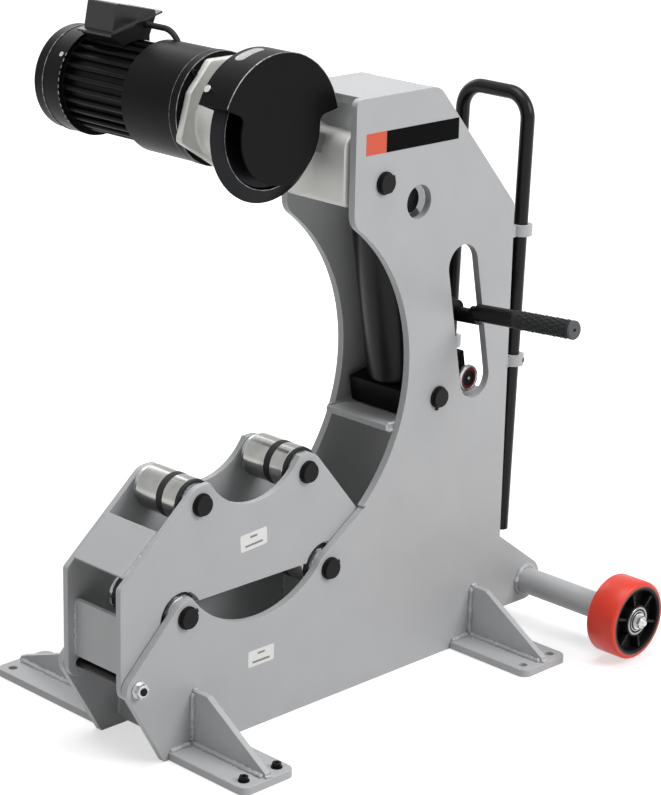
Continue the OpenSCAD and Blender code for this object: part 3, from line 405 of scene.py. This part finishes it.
beads(foot_runs, "foot_welds", "frame", 4.6)
axle_at = (419, 70)
axle_tube_r = 21
beads([ring_run(axle_at[0], side * (outer_y + 1), axle_at[1], axle_tube_r + 1.5)
       for side in (-1, 1)], "axle_tube_welds", "frame", 4.4)
rear_x = 353
handle_y = 66
clamp_ring_z = (449, 655)
clamp_runs = []
for side in (-1, 1):
    for z in clamp_ring_z:
        for y in (side * (handle_y - 7), side * (handle_y + 7)):
            clamp_runs.append([(rear_x, y, z - 9), (rear_x, y, z + 9)])
beads(clamp_runs, "clamp_ring_welds", "frame", 2.8)
# Both ends, as (x, z), of the welds of the front cross plate, shelf, cross tie and cover
cross_welds = (((-318, 16), (-318, 78)), ((-308, 16), (-308, 78)), ((100, 400), (340, 400)),
               ((100, 390), (340, 390)), ((13, 16), (13, 216)), ((28, 890), (160, 890)))
beads([[(x, side * (inner_y - 1), z) for x, z in ends] for side in (-1, 1)
       for ends in cross_welds], "cross_member_welds", "frame", 3.2)

# Labels
# Printed vinyl labels on the painted plates, left plain: a dark strip with an orange end on
# the upright, and two small white rating fields with ruled lines.


def vinyl(name, tone, shade):
    """Gloss vinyl film with faint mottling 4 mm wide."""
    material, tree, shader = new_finish(name, "black_plastic", 0.3)
    place = add(tree, "TexCoord").outputs["Object"]
    mottle = add(tree, "TexNoise", {"Vector": place, "Scale": 1 / (4 * MM), "Detail": 2.0})
    tint = add(tree, "Mix", {0: mottle.outputs["Fac"], 6: linear(shade), 7: linear(tone)},
               data_type="RGBA")
    tree.links.new(tint.outputs[2], shader.inputs["Base Color"])
    return material


def label(name, finish, body, centre, size, corner, lift=0.3, tilt=0.0):
    """A thin film with round corners that lies on a plate's near face."""
    bpy.ops.object.select_all(action="DESELECT")
    bpy.ops.mesh.primitive_plane_add(size=1)
    piece = bpy.context.active_object
    piece.scale = (size[0], size[1], 1)
    bpy.ops.object.transform_apply(location=False, rotation=False, scale=True)
    bpy.ops.object.mode_set(mode="EDIT")
    bpy.ops.mesh.select_all(action="SELECT")
    if corner:
        bpy.ops.mesh.bevel(offset=corner, segments=5, affect="VERTICES")
        bpy.ops.mesh.select_all(action="SELECT")
    bpy.ops.mesh.extrude_region_move(TRANSFORM_OT_translate={"value": (0, 0, lift)})
    bpy.ops.mesh.select_all(action="SELECT")
    bpy.ops.mesh.normals_make_consistent(inside=False)
    bpy.ops.object.mode_set(mode="OBJECT")
    seat(piece, centre, Matrix.Rotation(math.pi / 2, 4, "X") @ Matrix.Rotation(tilt, 4, "Z"))
    return hang(piece, name, finish, body)


# Gloss vinyl films: flat, even colour that lies thin on the paint
white_vinyl = vinyl("white gloss vinyl", "#F4F4F2", "#ECECEA")
black_vinyl = vinyl("black gloss vinyl", "#040405", "#060607")
black_vinyl.node_tree.nodes["Principled BSDF"].inputs["Specular IOR Level"].default_value = 0.03
orange_vinyl = vinyl("orange gloss vinyl", "#E2552F", "#DA4E2A")
grey_print = vinyl("grey printed line", "#8A8C8F", "#7C7E81")
strip_z = 835
strip_high = 31.5
label("upright_strip", black_vinyl, "frame", (144, -outer_y, strip_z), (152, strip_high), 0)
label("upright_strip_end", orange_vinyl, "frame", (47, -outer_y, strip_z), (41, strip_high), 0)
cradle_outer_y = 62
fields = (("base_label", "frame", (-165.5, -outer_y, 108.5), (51, 25), 0.0),
          ("cradle_label", "cradle", (-170.5, -cradle_outer_y, 286), (52, 26), 0.07))
for name, body, centre, size, tilt in fields:
    label(name, white_vinyl, body, centre, size, 3, tilt=tilt)
for name, body, (x, y, z), size, tilt in fields:
    for row, (rise, wide) in enumerate(((6, 14), (-6, 34))):
        label(f"{name}_line_{row}", grey_print, body, (x - rise * tilt, y - 0.3, z + rise),
              (wide, 3.2), 0.6, 0.12, tilt)

# Pins and roller shafts
# Turned steel pins through both side plates. Their black ends stand out of the plates and
# carry a spring ring whose two ears stick out.

# Moulded black polyamide: satin, with a fine pebbled skin
black_nylon = sprayed("moulded black polyamide", "black_plastic", "#19191B", "#141416", 0.42, 0.9,
                      0.03, 0.12)


def turned_steel(name, slot, tone, shade, roughness, groove, depth):
    """Bright turned steel, with lathe lines a groove apart along Y, in millimetres."""
    material, tree, shader = new_finish(name, slot, roughness)
    shader.inputs["Metallic"].default_value = 1.0
    place = add(tree, "TexCoord").outputs["Object"]
    lines = add(tree, "Mapping", {"Vector": place, "Scale": (6, 1 / (groove * MM), 6)})
    ridge = add(tree, "TexNoise", {"Vector": lines.outputs["Vector"], "Scale": 1.0,
                                   "Detail": 3.0})
    smear = add(tree, "TexNoise", {"Vector": place, "Scale": 1 / (22 * MM), "Detail": 4.0})
    tint = add(tree, "Mix", {0: smear.outputs["Fac"], 6: linear(shade), 7: linear(tone)},
               data_type="RGBA")
    gloss = add(tree, "MapRange", {"Value": ridge.outputs["Fac"], "To Min": roughness - 0.08,
                                   "To Max": roughness + 0.1})
    bump = add(tree, "Bump", {"Height": ridge.outputs["Fac"], "Strength": 0.4,
                              "Distance": depth * MM})
    tree.links.new(tint.outputs[2], shader.inputs["Base Color"])
    tree.links.new(gloss.outputs["Result"], shader.inputs["Roughness"])
    tree.links.new(bump.outputs["Normal"], shader.inputs["Normal"])
    return material


# Ground carbon steel: near-mirror with fine rings round the axis
ground_steel = turned_steel("ground carbon steel", "steel", "#B4B4B1", "#858583", 0.2, 0.8, 0.012)


def repaint(node, finish):
    """Gives a carried-over CAD node its finish."""
    frame["nodes"][node].data.materials.clear()
    frame["nodes"][node].data.materials.append(finish)


for node in ("frame_pins", "base_roller_shafts", "cradle_roller_shafts"):
    repaint(node, ground_steel)
base_rollers = ((-309, 208.5), (-28, 208.5))
cradle_rollers = ((-271.5, 364), (-64.5, 364))
pivot_at = (66.5, 775)
jack_at = (196, 426)


def turned(outline, steps=64):
    """Spins an outline of (radius, along) points round the Y axis, in millimetres."""
    bpy.ops.object.select_all(action="DESELECT")
    bpy.ops.mesh.primitive_plane_add(size=1)
    piece = bpy.context.active_object
    bpy.ops.object.mode_set(mode="EDIT")
    bpy.ops.mesh.select_mode(type="VERT")
    bpy.ops.mesh.select_all(action="SELECT")
    bpy.ops.mesh.merge(type="CENTER")
    at = Vector((0, 0, 0))
    for k, (radius, y) in enumerate(outline):
        to = Vector((radius, y, 0))
        if k == 0:
            bpy.ops.transform.translate(value=to - at)
        else:
            bpy.ops.mesh.extrude_region_move(TRANSFORM_OT_translate={"value": to - at})
        at = to
    bpy.ops.mesh.select_all(action="SELECT")
    bpy.ops.mesh.spin(steps=steps, angle=math.tau, center=(0, 0, 0), axis=(0, 1, 0))
    bpy.ops.mesh.select_all(action="SELECT")
    bpy.ops.mesh.remove_doubles(threshold=0.001)
    bpy.ops.mesh.normals_make_consistent(inside=False)
    bpy.ops.object.mode_set(mode="OBJECT")
    bpy.ops.object.shade_smooth_by_angle(angle=SHARP)
    return piece


def ring(inner, outer, start, end, edge=0.4):
    """A closed ring with chamfered edges, round the Y axis."""
    return turned([(inner, start), (outer - edge, start), (outer, start + edge),
                   (outer, end - edge), (outer - edge, end), (inner, end), (inner, start)])


# Painted highlights on the edges of black parts: pale, softly shining lines in patches
painted_edge_highlight, highlight_tree, highlight_shader = new_finish("painted highlight on an edge", "zinc", 0.4)
highlight_shader.inputs["Metallic"].default_value = 0.6
highlight_place = add(highlight_tree, "TexCoord").outputs["Object"]
highlight_patches = add(highlight_tree, "TexNoise", {"Vector": highlight_place, "Scale": 1 / (9 * MM),
                                           "Detail": 4.0})
highlight_ramp = add(highlight_tree, "MapRange", {"Value": highlight_patches.outputs["Fac"], "From Min": 0.38,
                                        "From Max": 0.6})
highlight_tint = add(highlight_tree, "Mix", {0: highlight_ramp.outputs["Result"], 6: linear("#5E5E61"),
                                   7: linear("#9A9A9C")}, data_type="RGBA")
highlight_tree.links.new(highlight_tint.outputs[2], highlight_shader.inputs["Base Color"])


ear_out = 17.6


def pin_ends(places, y, ears, name, body, node):
    """Black pin ends on both sides, with ears of spring rings at angles in degrees."""
    pieces = []
    rims = []
    for side in (-1, 1):
        for (x, z), turns in zip(places, ears):
            end = [(0, 0), (17, 0), (17, 2.4), (16.5, 2.9), (14.9, 2.9), (14.6, 3.2), (14.6, 7.5),
                   (13.7, 8.4), (0, 8.4)]
            pieces.append(seat(turned([(r, side * (y + t)) for r, t in end]), (x, 0, z)))
            rim = sorted((side * (y + 7.6), side * (y + 8.3)))
            rims.append(seat(ring(13.7, 14.5, *rim, 0.3), (x, 0, z)))
            for turn in turns:
                bpy.ops.object.select_all(action="DESELECT")
                bpy.ops.mesh.primitive_cube_add(size=1)
                ear = bpy.context.active_object
                ear.scale = (6, 2.6, 5.5)
                bpy.ops.object.transform_apply(location=False, rotation=False, scale=True)
                finish_edges(ear, 1.0, 3)
                angle = math.radians(turn)
                pieces.append(seat(ear, (x + ear_out * math.cos(angle), side * (y + 1.4),
                                         z + ear_out * math.sin(angle)),
                                   Matrix.Rotation(-angle, 4, "Y")))
    together(rims, name + "_rims", black_oxide, body)
    return together(pieces, name, black_nylon, body, node)


ears = ((20, -45), (-45, -100), (20, -45), (20, -45))
pin_ends((pivot_at, jack_at, *base_rollers), outer_y, ears, "pin_ends", "frame", "pin_caps")
pin_ends(cradle_rollers, cradle_outer_y, ((), ()), "cradle_pin_ends", "cradle", "cradle_pin_caps")

# Cradle hinge
# A blackened steel rod through the front of both frames, with a locking nut and a washer in
# bright zinc plate at each end.

# Bright zinc plate: pale blue-grey metal with soft reflections
zinc_plate, zinc_tree, zinc_shader = new_finish("bright zinc plate", "zinc", 0.3)
zinc_shader.inputs["Metallic"].default_value = 1.0
zinc_place = add(zinc_tree, "TexCoord").outputs["Object"]
zinc_bloom = add(zinc_tree, "TexNoise", {"Vector": zinc_place, "Scale": 1 / (5 * MM),
                                         "Detail": 4.0})
zinc_tint = add(zinc_tree, "Mix", {0: zinc_bloom.outputs["Fac"], 6: linear("#B6B9BC"),
                                   7: linear("#DADCDD")}, data_type="RGBA")
zinc_gloss = add(zinc_tree, "MapRange", {"Value": zinc_bloom.outputs["Fac"], "To Min": 0.2,
                                         "To Max": 0.38})
zinc_tree.links.new(zinc_tint.outputs[2], zinc_shader.inputs["Base Color"])
zinc_tree.links.new(zinc_gloss.outputs["Result"], zinc_shader.inputs["Roughness"])

dress("cradle_pivot_rod", black_oxide, 1.2, 3)
dress("cradle_pivot_nuts", zinc_plate, 0.8, 3)

# Axle and wheels
# A painted tube welded through the side plates carries stub axles. Each wheel is a cast
# black centre with ribs and a red polyurethane tyre, held by a plated domed nut.

# Cast polyurethane: saturated red-orange, satin, slightly translucent
red_polyurethane = sprayed("cast red polyurethane", "red_tyre", "#F04430", "#E03927", 0.36, 3.0,
                           0.04, 0.4)
polyurethane_shader = red_polyurethane.node_tree.nodes["Principled BSDF"]
polyurethane_shader.inputs["Subsurface Weight"].default_value = 0.04
polyurethane_shader.inputs["Subsurface Scale"].default_value = 0.004

dress("axle_tube", grey_enamel, 0.8)
dress("axle_studs", zinc_plate, 0.8)
dress("axle_nuts", zinc_plate, 0.9, 3)
# Aged bonding line between tyre and centre: matt grey-brown
bond_line = sprayed("aged bonding line", "black_plastic", "#6B6258", "#574F47", 0.7, 2.0, 0.05,
                    0.3)
wheel_face = 307
wheel_half = 27
rib_count = 6
rib_out = 36.5
rib_rise = 18.2
hub_at = (axle_at[0], 0, axle_at[1])
for side, wheel in ((-1, "near_wheel"), (1, "far_wheel")):
    dress(wheel + "_tyre", red_polyurethane, 2.0, 3)
    dress(wheel + "_hub", black_nylon, 1.2, 2)
    ribs = []
    for face in (1, -1):
        for k in range(rib_count):
            bpy.ops.object.select_all(action="DESELECT")
            bpy.ops.mesh.primitive_cube_add(size=1)
            rib = bpy.context.active_object
            rib.scale = (21, 12.5, 3.4)
            bpy.ops.object.transform_apply(location=False, rotation=False, scale=True)
            pick_faces(rib, lambda centre, normal: normal.x > 0.9)
            bpy.ops.transform.resize(value=(1, 1, 1.4))
            finish_edges(rib, 0.7, 2)
            spoke = Matrix.Rotation(math.tau * k / rib_count + 0.3, 4, "Y")
            out = spoke @ Vector((rib_out, 0, 0))
            y = wheel_face - wheel_half + face * rib_rise
            ribs.append(seat(rib, (hub_at[0] + out.x, side * y, hub_at[2] + out.z), spoke))
    together(ribs, wheel + "_ribs", black_nylon, wheel)
    flat = sorted((side * (wheel_face - 1.6), side * (wheel_face - 0.5)))
    together([seat(ring(14.5, 16.6, *flat, 0.2), hub_at),
              seat(ring(19.4, 22.4, *flat, 0.3), hub_at)],
             wheel + "_bearing_rings", ground_steel, wheel)
    together([seat(ring(16.6, 19.4, *flat, 0.3), hub_at)], wheel + "_bearing_seal", black_nylon,
             wheel)
    bond = sorted((side * (wheel_face - 1.4), side * (wheel_face - 0.1)))
    together([seat(ring(53.2, 55.3, *bond, 0.3), hub_at)], wheel + "_bond_line", bond_line, wheel)

# Rollers
# Steel tubes with ground faces, turning on bearings. A black rubber band sits in a groove
# at the middle, and a rubber seal and stacked plated rings stand at each end.

# Moulded nitrile rubber: matt dark grey with a fine tooth
black_rubber = sprayed("moulded nitrile rubber", "black_rubber", "#28292A", "#202122", 0.62, 0.8,
                       0.05, 0.25)

roller_r = 33
bore_r = 10.1
base_half, cradle_half = 51, 41
band_from, band_to = -15.5, -2.5
for body, (x, z), half in (("base_front", base_rollers[0], base_half),
                           ("base_rear", base_rollers[1], base_half),
                           ("cradle_front", cradle_rollers[0], cradle_half),
                           ("cradle_rear", cradle_rollers[1], cradle_half)):
    shell = turned([(bore_r, -half), (roller_r - 1, -half), (roller_r, 1 - half),
                    (roller_r, band_from), (roller_r - 2, band_from), (roller_r - 2, band_to),
                    (roller_r, band_to), (roller_r, half - 1), (roller_r - 1, half),
                    (bore_r, half), (bore_r, -half)], 96)
    together([seat(shell, (x, 0, z))], body + "_roller_finish", ground_steel, body,
             body + "_roller")
    rubber = [seat(ring(roller_r - 1.9, roller_r + 0.3, band_from + 0.1, band_to - 0.1, 0.8),
                   (x, 0, z))]
    rubber.append(seat(ring(28.3, roller_r - 0.4, -half - 6, -half - 0.4, 1.4), (x, 0, z)))
    together(rubber, body + "_roller_rubber", black_rubber, body)


cradle_inner_y = 52
stack_count = 4


def bearing_rings(places, start, end, name, body, node):
    """Plated rings stacked with grooves between a roller and its plates."""
    stack = [(10.2, start), (27.4, start)]
    thick = (end - start) / stack_count
    for k in range(stack_count):
        low = start + k * thick
        stack += [(27.5, low + 0.4), (28, low + 0.8), (28, low + thick - 0.9),
                  (25.8, low + thick - 0.6), (25.8, low + thick - 0.1)]
    stack += [(10.2, end), (10.2, start)]
    rings = []
    for side in (-1, 1):
        for x, z in places:
            rings.append(seat(turned([(r, side * y) for r, y in stack]), (x, 0, z)))
    return together(rings, name, zinc_plate, body, node)


bearing_rings(base_rollers, base_half + 0.3, inner_y, "base_bearing_rings", "frame",
              "base_roller_rings")
bearing_rings(cradle_rollers, cradle_half + 0.3, cradle_inner_y, "cradle_bearing_rings", "cradle",
              "cradle_roller_rings")

# Cradle
# Two notched plates joined by a sloping front plate and a lower cross plate, welded and
# painted like the frame.

for plate in ("cradle_near_plate", "cradle_far_plate"):
    dress(plate, grey_enamel, 1.2, 3)
dress("cradle_slope_plate", grey_enamel, 1.0)
dress("cradle_front_plate", grey_enamel, 1.0)
cradle_runs = []
for side in (-1, 1):
    y = side * (cradle_inner_y - 1)
    cradle_runs.append([(-407, y, 142), (-407, y, 222)])
    cradle_runs.append([(-399, y, 142), (-399, y, 222)])
    cradle_runs.append([(-406, y, 286), (-343, y, 336)])
beads(cradle_runs, "cradle_welds", "cradle", 3.0)

# Tow handle
# One bent steel tube, powder coated gloss black, which slides in four painted clamp rings. A
# set screw in each lower ring holds it.

# Gloss black powder coat: deep black with clear highlights
gloss_black = sprayed("gloss black powder coat", "black_paint", "#101011", "#0D0D0E", 0.3, 2.2,
                      0.03, 0.2)
dress("tow_handle", gloss_black, 0.6)
dress("handle_rings", grey_enamel, 1.2, 3)
handle_foot = (364.5, 170)
handle_lean = math.radians(1.75)
clamp_r = 17.6
set_screws = []
for side in (-1, 1):
    ring_x = handle_foot[0] + (clamp_ring_z[0] - handle_foot[1]) * math.tan(handle_lean)
    out = Vector((0.42, side * 0.908, 0))
    set_screws.append(seat(screw(8.0, 1.6, 2.2, 24),
                           (ring_x + clamp_r * out.x, side * handle_y + clamp_r * out.y,
                            clamp_ring_z[0]),
                           out.to_track_quat("Z", "Y").to_matrix().to_4x4()))
together(set_screws, "clamp_set_screws", black_oxide, "frame")

# Head casting
# Sand-cast arm in silver enamel that carries the cutter shaft and the gearbox. Plated screws
# hold the gearbox and the guard.

# Silver enamel on cast iron: pale and satin, with the grain of the casting under it
cast_silver = sprayed("silver enamel on cast iron", "silver_paint", "#EEEEEA", "#DDDDD9", 0.48, 1.6,
                      0.18)
cast_silver.node_tree.nodes["Principled BSDF"].inputs["Metallic"].default_value = 0.2
casting = dress("head_arm", cast_silver, 0)
cast_skin = casting.modifiers.new("skin", "REMESH")
cast_skin.mode = "VOXEL"
cast_skin.voxel_size = 1.8 * MM
bpy.ops.object.modifier_apply(modifier=cast_skin.name)
cast_soft = casting.modifiers.new("soft", "SMOOTH")
cast_soft.factor = 0.5
cast_soft.iterations = 5
bpy.ops.object.modifier_apply(modifier=cast_soft.name)
bpy.ops.object.shade_smooth()
dress("head_screws", zinc_plate, 0.6, 2)

# Gearbox
# Cast housing with a screwed flange, in satin black enamel. One of its socket screws shows
# beside the casting, and pale rings on the flange's turned edges are painted highlights.

# Satin black enamel: near black, with faint broad highlights
satin_black = sprayed("satin black enamel", "black_paint", "#111112", "#0D0D0E", 0.36, 2.2, 0.05,
                     0.07)
dress("gearbox_flange", satin_black, 1.2, 3)
dress("gearbox_housing", satin_black, 3.0, 4)
motor_at = (-99, 877)
flange_y = 95
flange_screw_r = 77
flange_screw_turn = math.radians(131)
flange_screw = seat(screw(9.5, 4.0, 2.6, 28),
                    (motor_at[0] + flange_screw_r * math.cos(flange_screw_turn), flange_y,
                     motor_at[1] + flange_screw_r * math.sin(flange_screw_turn)),
                    Matrix.Rotation(math.pi / 2, 4, "X"))
together([flange_screw], "gearbox_flange_screw", black_oxide, "head")
# Two pale rings on the flange's turned edges: painted highlights
flange_highlights = [seat(ring(82.0, 83.2, 94.9, 96.1, 0.4), (motor_at[0], 0, motor_at[1])),
                seat(ring(81.8, 83.1, 109.4, 110.5, 0.4), (motor_at[0], 0, motor_at[1]))]
together(flange_highlights, "gearbox_flange_edges", painted_edge_highlight, "head")

# Guard
# Pressed sheet steel over the upper part of the cutter, satin black. A pale line along its
# rim's edge is a painted highlight, and the rim carries a plain pale sticker.

dress("cutter_guard", satin_black, 0.9, 3)
cutter_at = (-99, 863)


def edge_line(points, name, body, radius):
    """A thin line of painted highlight along points in millimetres."""
    curve = bpy.data.curves.new(name, "CURVE")
    curve.dimensions = "3D"
    curve.bevel_depth = radius * MM
    curve.bevel_resolution = 1
    curve.use_fill_caps = True
    spline = curve.splines.new("POLY")
    spline.points.add(len(points) - 1)
    for dot, at in zip(spline.points, points):
        dot.co = (*(Vector(at) * MM), 1)
    line = bpy.data.objects.new(name, curve)
    bpy.context.scene.collection.objects.link(line)
    bpy.ops.object.select_all(action="DESELECT")
    line.select_set(True)
    bpy.context.view_layer.objects.active = line
    bpy.ops.object.convert(target="MESH")
    bpy.ops.object.shade_smooth()
    return hang(bpy.context.active_object, name, painted_edge_highlight, body)


def rim_arc(centre, y, radius, start, end, step=3):
    """Points of an arc in a plane across Y, by angles in degrees."""
    count = round((end - start) / step)
    return [(centre[0] + radius * math.cos(math.radians(start + (end - start) * k / count)), y,
             centre[1] + radius * math.sin(math.radians(start + (end - start) * k / count)))
            for k in range(count + 1)]


guard_from, guard_to = 12, 156
# A pale line along the guard's rim: a painted highlight
edge_line(rim_arc(cutter_at, -31.4, 111.7, guard_from, guard_to), "guard_rim_highlight", "head", 0.8)
bpy.ops.object.select_all(action="DESELECT")
bpy.ops.mesh.primitive_grid_add(x_subdivisions=40, y_subdivisions=4, size=1)
sticker = bpy.context.active_object
sticker_long, sticker_wide, sticker_radius = 50, 18, 112.15
sticker_turn, sticker_y = math.radians(103), 8
for corner in sticker.data.vertices:
    reach = corner.co.x * sticker_long
    past = max(0, abs(reach) - (sticker_long - sticker_wide) / 2) / (sticker_wide / 2)
    across = corner.co.y * sticker_wide * math.sqrt(max(0.001, 1 - past * past))
    turn = sticker_turn - reach / sticker_radius
    corner.co = (cutter_at[0] + sticker_radius * math.cos(turn), sticker_y + across,
                 cutter_at[1] + sticker_radius * math.sin(turn))
bpy.ops.object.shade_smooth()
film = sticker.modifiers.new("film", "SOLIDIFY")
film.thickness = 0.3
bpy.ops.object.modifier_apply(modifier=film.name)
seat(sticker, (0, 0, 0))
# Pale grey vinyl, duller than the labels
grey_vinyl = vinyl("pale grey vinyl", "#B4B4B4", "#A6A6A6")
hang(sticker, "guard_sticker", grey_vinyl, "head")

# Cutter, its shaft and the gears
# A hardened disc with a bevelled rim and a plated nut on a turned shaft, driven from the
# motor through two pairs of gears.

dress("cutter_wheel", black_oxide, 0.5, 2)
# A pale ring at the inner lip of the cutter's rim: a painted highlight
lip_highlight = [seat(ring(84.6, 85.8, -8.6, -8.0, 0.25), (cutter_at[0], 0, cutter_at[1]))]
together(lip_highlight, "cutter_lip_line", painted_edge_highlight, "cutter")
repaint("cutter_shaft", ground_steel)
dress("cutter_nut", zinc_plate, 1.0, 3)
for node in ("layshaft", "rotor"):
    repaint(node, ground_steel)

# Motor
# A finned aluminium frame round a wound stator, and a moulded fan under a pressed cowl. The
# frame and the cowl are satin black.

dress("motor_body", satin_black, 0.7, 2)
dress("fan_cowl", satin_black, 1.2, 3)
# A pale ring at the cowl's front edge: a painted highlight
cowl_highlights = [seat(ring(79.3, 80.8, 395.2, 396.6, 0.5), (motor_at[0], 0, motor_at[1]))]
together(cowl_highlights, "cowl_edge_highlight", painted_edge_highlight, "head")
# Painted glints on the ends of the fins in the gap before the cowl, in degrees round the motor
glint_from, glint_pitch, glint_long = 142, 6.9, 3.4
for dash in range(12):
    dash_turn = glint_from + glint_pitch * dash
    edge_line(rim_arc(motor_at, 357.4, 81.0, dash_turn, dash_turn + glint_long, 1.7),
              f"cowl_gap_glint_{dash}", "head", 0.9)
cowl_screw_turn = math.radians(145)
cowl_screw_r = 80.2
cowl_out = Vector((math.cos(cowl_screw_turn), 0, math.sin(cowl_screw_turn)))
cowl_screw = seat(screw(7.5, 2.4, 2.0, 24), (motor_at[0] + cowl_screw_r * cowl_out.x, 366,
                                             motor_at[1] + cowl_screw_r * cowl_out.z),
                  cowl_out.to_track_quat("Z", "Y").to_matrix().to_4x4())
together([cowl_screw], "cowl_screw", zinc_plate, "head")

# Enamelled copper wire: warm brown metal in fine close turns
copper_wire, copper_tree, copper_shader = new_finish("enamelled copper wire", "copper", 0.35)
copper_shader.inputs["Metallic"].default_value = 0.9
copper_place = add(copper_tree, "TexCoord").outputs["Object"]
copper_turns = add(copper_tree, "TexWave", {"Vector": copper_place, "Scale": 1 / (6 * MM),
                                            "Distortion": 1.5})
copper_tint = add(copper_tree, "Mix", {0: copper_turns.outputs["Fac"], 6: linear("#6E3418"),
                                       7: linear("#B4663A")}, data_type="RGBA")
copper_tree.links.new(copper_tint.outputs[2], copper_shader.inputs["Base Color"])
repaint("stator", copper_wire)
repaint("cooling_fan", black_nylon)

# Terminal box and its lead
# Moulded box on the motor with a wedge-shaped, polished lid whose rim stands out all round,
# and a short rubber lead that bends down into the gearbox.

dress("terminal_box", black_nylon, 3.0, 4)
# Polished black polycarbonate: the lid's faces and edges mirror the room softly
gloss_plastic = sprayed("polished black polycarbonate", "black_plastic", "#1B1B1E", "#161618", 0.26,
                        1.4, 0.02, 0.4)
dress("terminal_lid", gloss_plastic, 2.2, 4)
dress("motor_cable", black_rubber, 0)

# Jack
# A bottle jack on the lower pin: forged base with its pump, cylinder in gloss black, and a
# ground ram that lifts the head.

dress("jack_base", satin_black, 2.0, 3)
dress("jack_barrel", gloss_black, 2.0, 3)
dress("ram", ground_steel, 0.8)
dress("plunger", black_oxide, 0.8)
ram_at = (141, 735)
pin_heads = []
for side in (-1, 1):
    outline = [(0, 50.6), (20.1, 50.6), (20.1, 53.8), (19.3, 54.7), (0, 54.7)]
    pin_heads.append(seat(turned([(r, side * y) for r, y in outline]),
                          (ram_at[0], 0, ram_at[1])))
together(pin_heads, "ram_pin_heads", black_oxide, "ram_rod")

# Pump lever
# A forked socket on the pump, a thicker tube sleeved over it and a moulded rubber grip
# with rows of raised lozenges.

dress("lever_socket", gloss_black, 1.0)
dress("lever_bar", gloss_black, 4.0, 4)
jack_lean = math.atan2(jack_at[0] - ram_at[0], ram_at[1] - jack_at[1])
lever_drop = math.radians(4.6)
pump_offset = 84
lever_pivot_y = 28
lever_pivot_z = 101.5
lever_turn = Matrix.Rotation(-jack_lean, 4, "Y") @ Matrix.Rotation(-lever_drop, 4, "X")
lever_at = (jack_at[0] + pump_offset * math.cos(jack_lean) - lever_pivot_z * math.sin(jack_lean),
            lever_pivot_y,
            jack_at[1] + pump_offset * math.sin(jack_lean) + lever_pivot_z * math.cos(jack_lean))
grip_parts = [seat(turned([(11.1, -199), (14.0, -199), (14.5, -199.6), (14.5, -204.5),
                           (13.3, -206), (13.3, -304), (14.2, -305.5), (14.5, -306.5),
                           (14.5, -309), (0, -309), (0, -308), (11.1, -308), (11.1, -199)]),
                   lever_at, lever_turn)]
lumps_round = 12
lump_rows = 9
row_pitch = 10.6
for row in range(lump_rows):
    for k in range(lumps_round):
        bpy.ops.object.select_all(action="DESELECT")
        bpy.ops.mesh.primitive_uv_sphere_add(segments=10, ring_count=6, radius=1)
        lump = bpy.context.active_object
        lump.scale = (2.5, 4.4, 1.5)
        bpy.ops.object.transform_apply(location=False, rotation=False, scale=True)
        bpy.ops.object.shade_smooth()
        turn = math.tau * (k + 0.5 * (row % 2)) / lumps_round
        round_bar = Matrix.Rotation(turn, 4, "Y")
        out = round_bar @ Vector((0, 0, 13.2))
        along_bar = -212.5 - row_pitch * row
        lump.data.transform(Matrix.Translation((out.x, along_bar, out.z)) @ round_bar)
        grip_parts.append(seat(lump, lever_at, lever_turn))
together(grip_parts, "lever_grip_finish", black_rubber, "pump_lever", "lever_grip")
# Grey rubber of the grip's end ring, dusty and dull
grey_rubber = sprayed("dusty grey rubber", "black_rubber", "#626366", "#505154", 0.65, 0.9, 0.05,
                      0.3)
together([seat(turned([(2.6, -309), (14.5, -309), (14.5, -310.6), (13.4, -312), (3.4, -312),
                       (2.6, -311.2), (2.6, -309)]), lever_at, lever_turn)],
         "lever_grip_end", grey_rubber, "pump_lever")

# Release knob
# A moulded hand wheel on the valve's stem, with a polished chamfered rim, a dark red inner
# ring and a screw in its middle.

knob_at = (290.15, 0, 430.57)
together([seat(turned([(0, -16), (5, -16), (5, -34.3), (12, -34.3), (12, -44.3), (17.4, -44.3),
                       (17.4, -50.4), (4.2, -50.4), (4.2, -51.8), (0, -51.8)]), knob_at)],
         "release_knob_finish", black_nylon, "knob", "release_knob")
together([seat(turned([(17.4, -44.3), (19.4, -44.3), (21, -45.9), (21, -50.4), (19.4, -52.3),
                       (17.4, -52.3), (16.6, -51.4), (16.6, -50.5), (17.4, -50.5),
                       (17.4, -44.3)]), knob_at)], "release_knob_rim", zinc_plate, "knob")
# Dark red lacquer in the knob's groove
red_lacquer = sprayed("dark red lacquer", "red_tyre", "#6E1512", "#5C100E", 0.35, 1.5, 0.03)
together([seat(ring(12.6, 16.4, -51.2, -50.3, 0.4), knob_at)], "release_knob_ring", red_lacquer,
         "knob")
together([seat(ring(0.01, 2.6, -52.3, -51.6, 0.4), knob_at)], "release_knob_screw", zinc_plate,
         "knob")
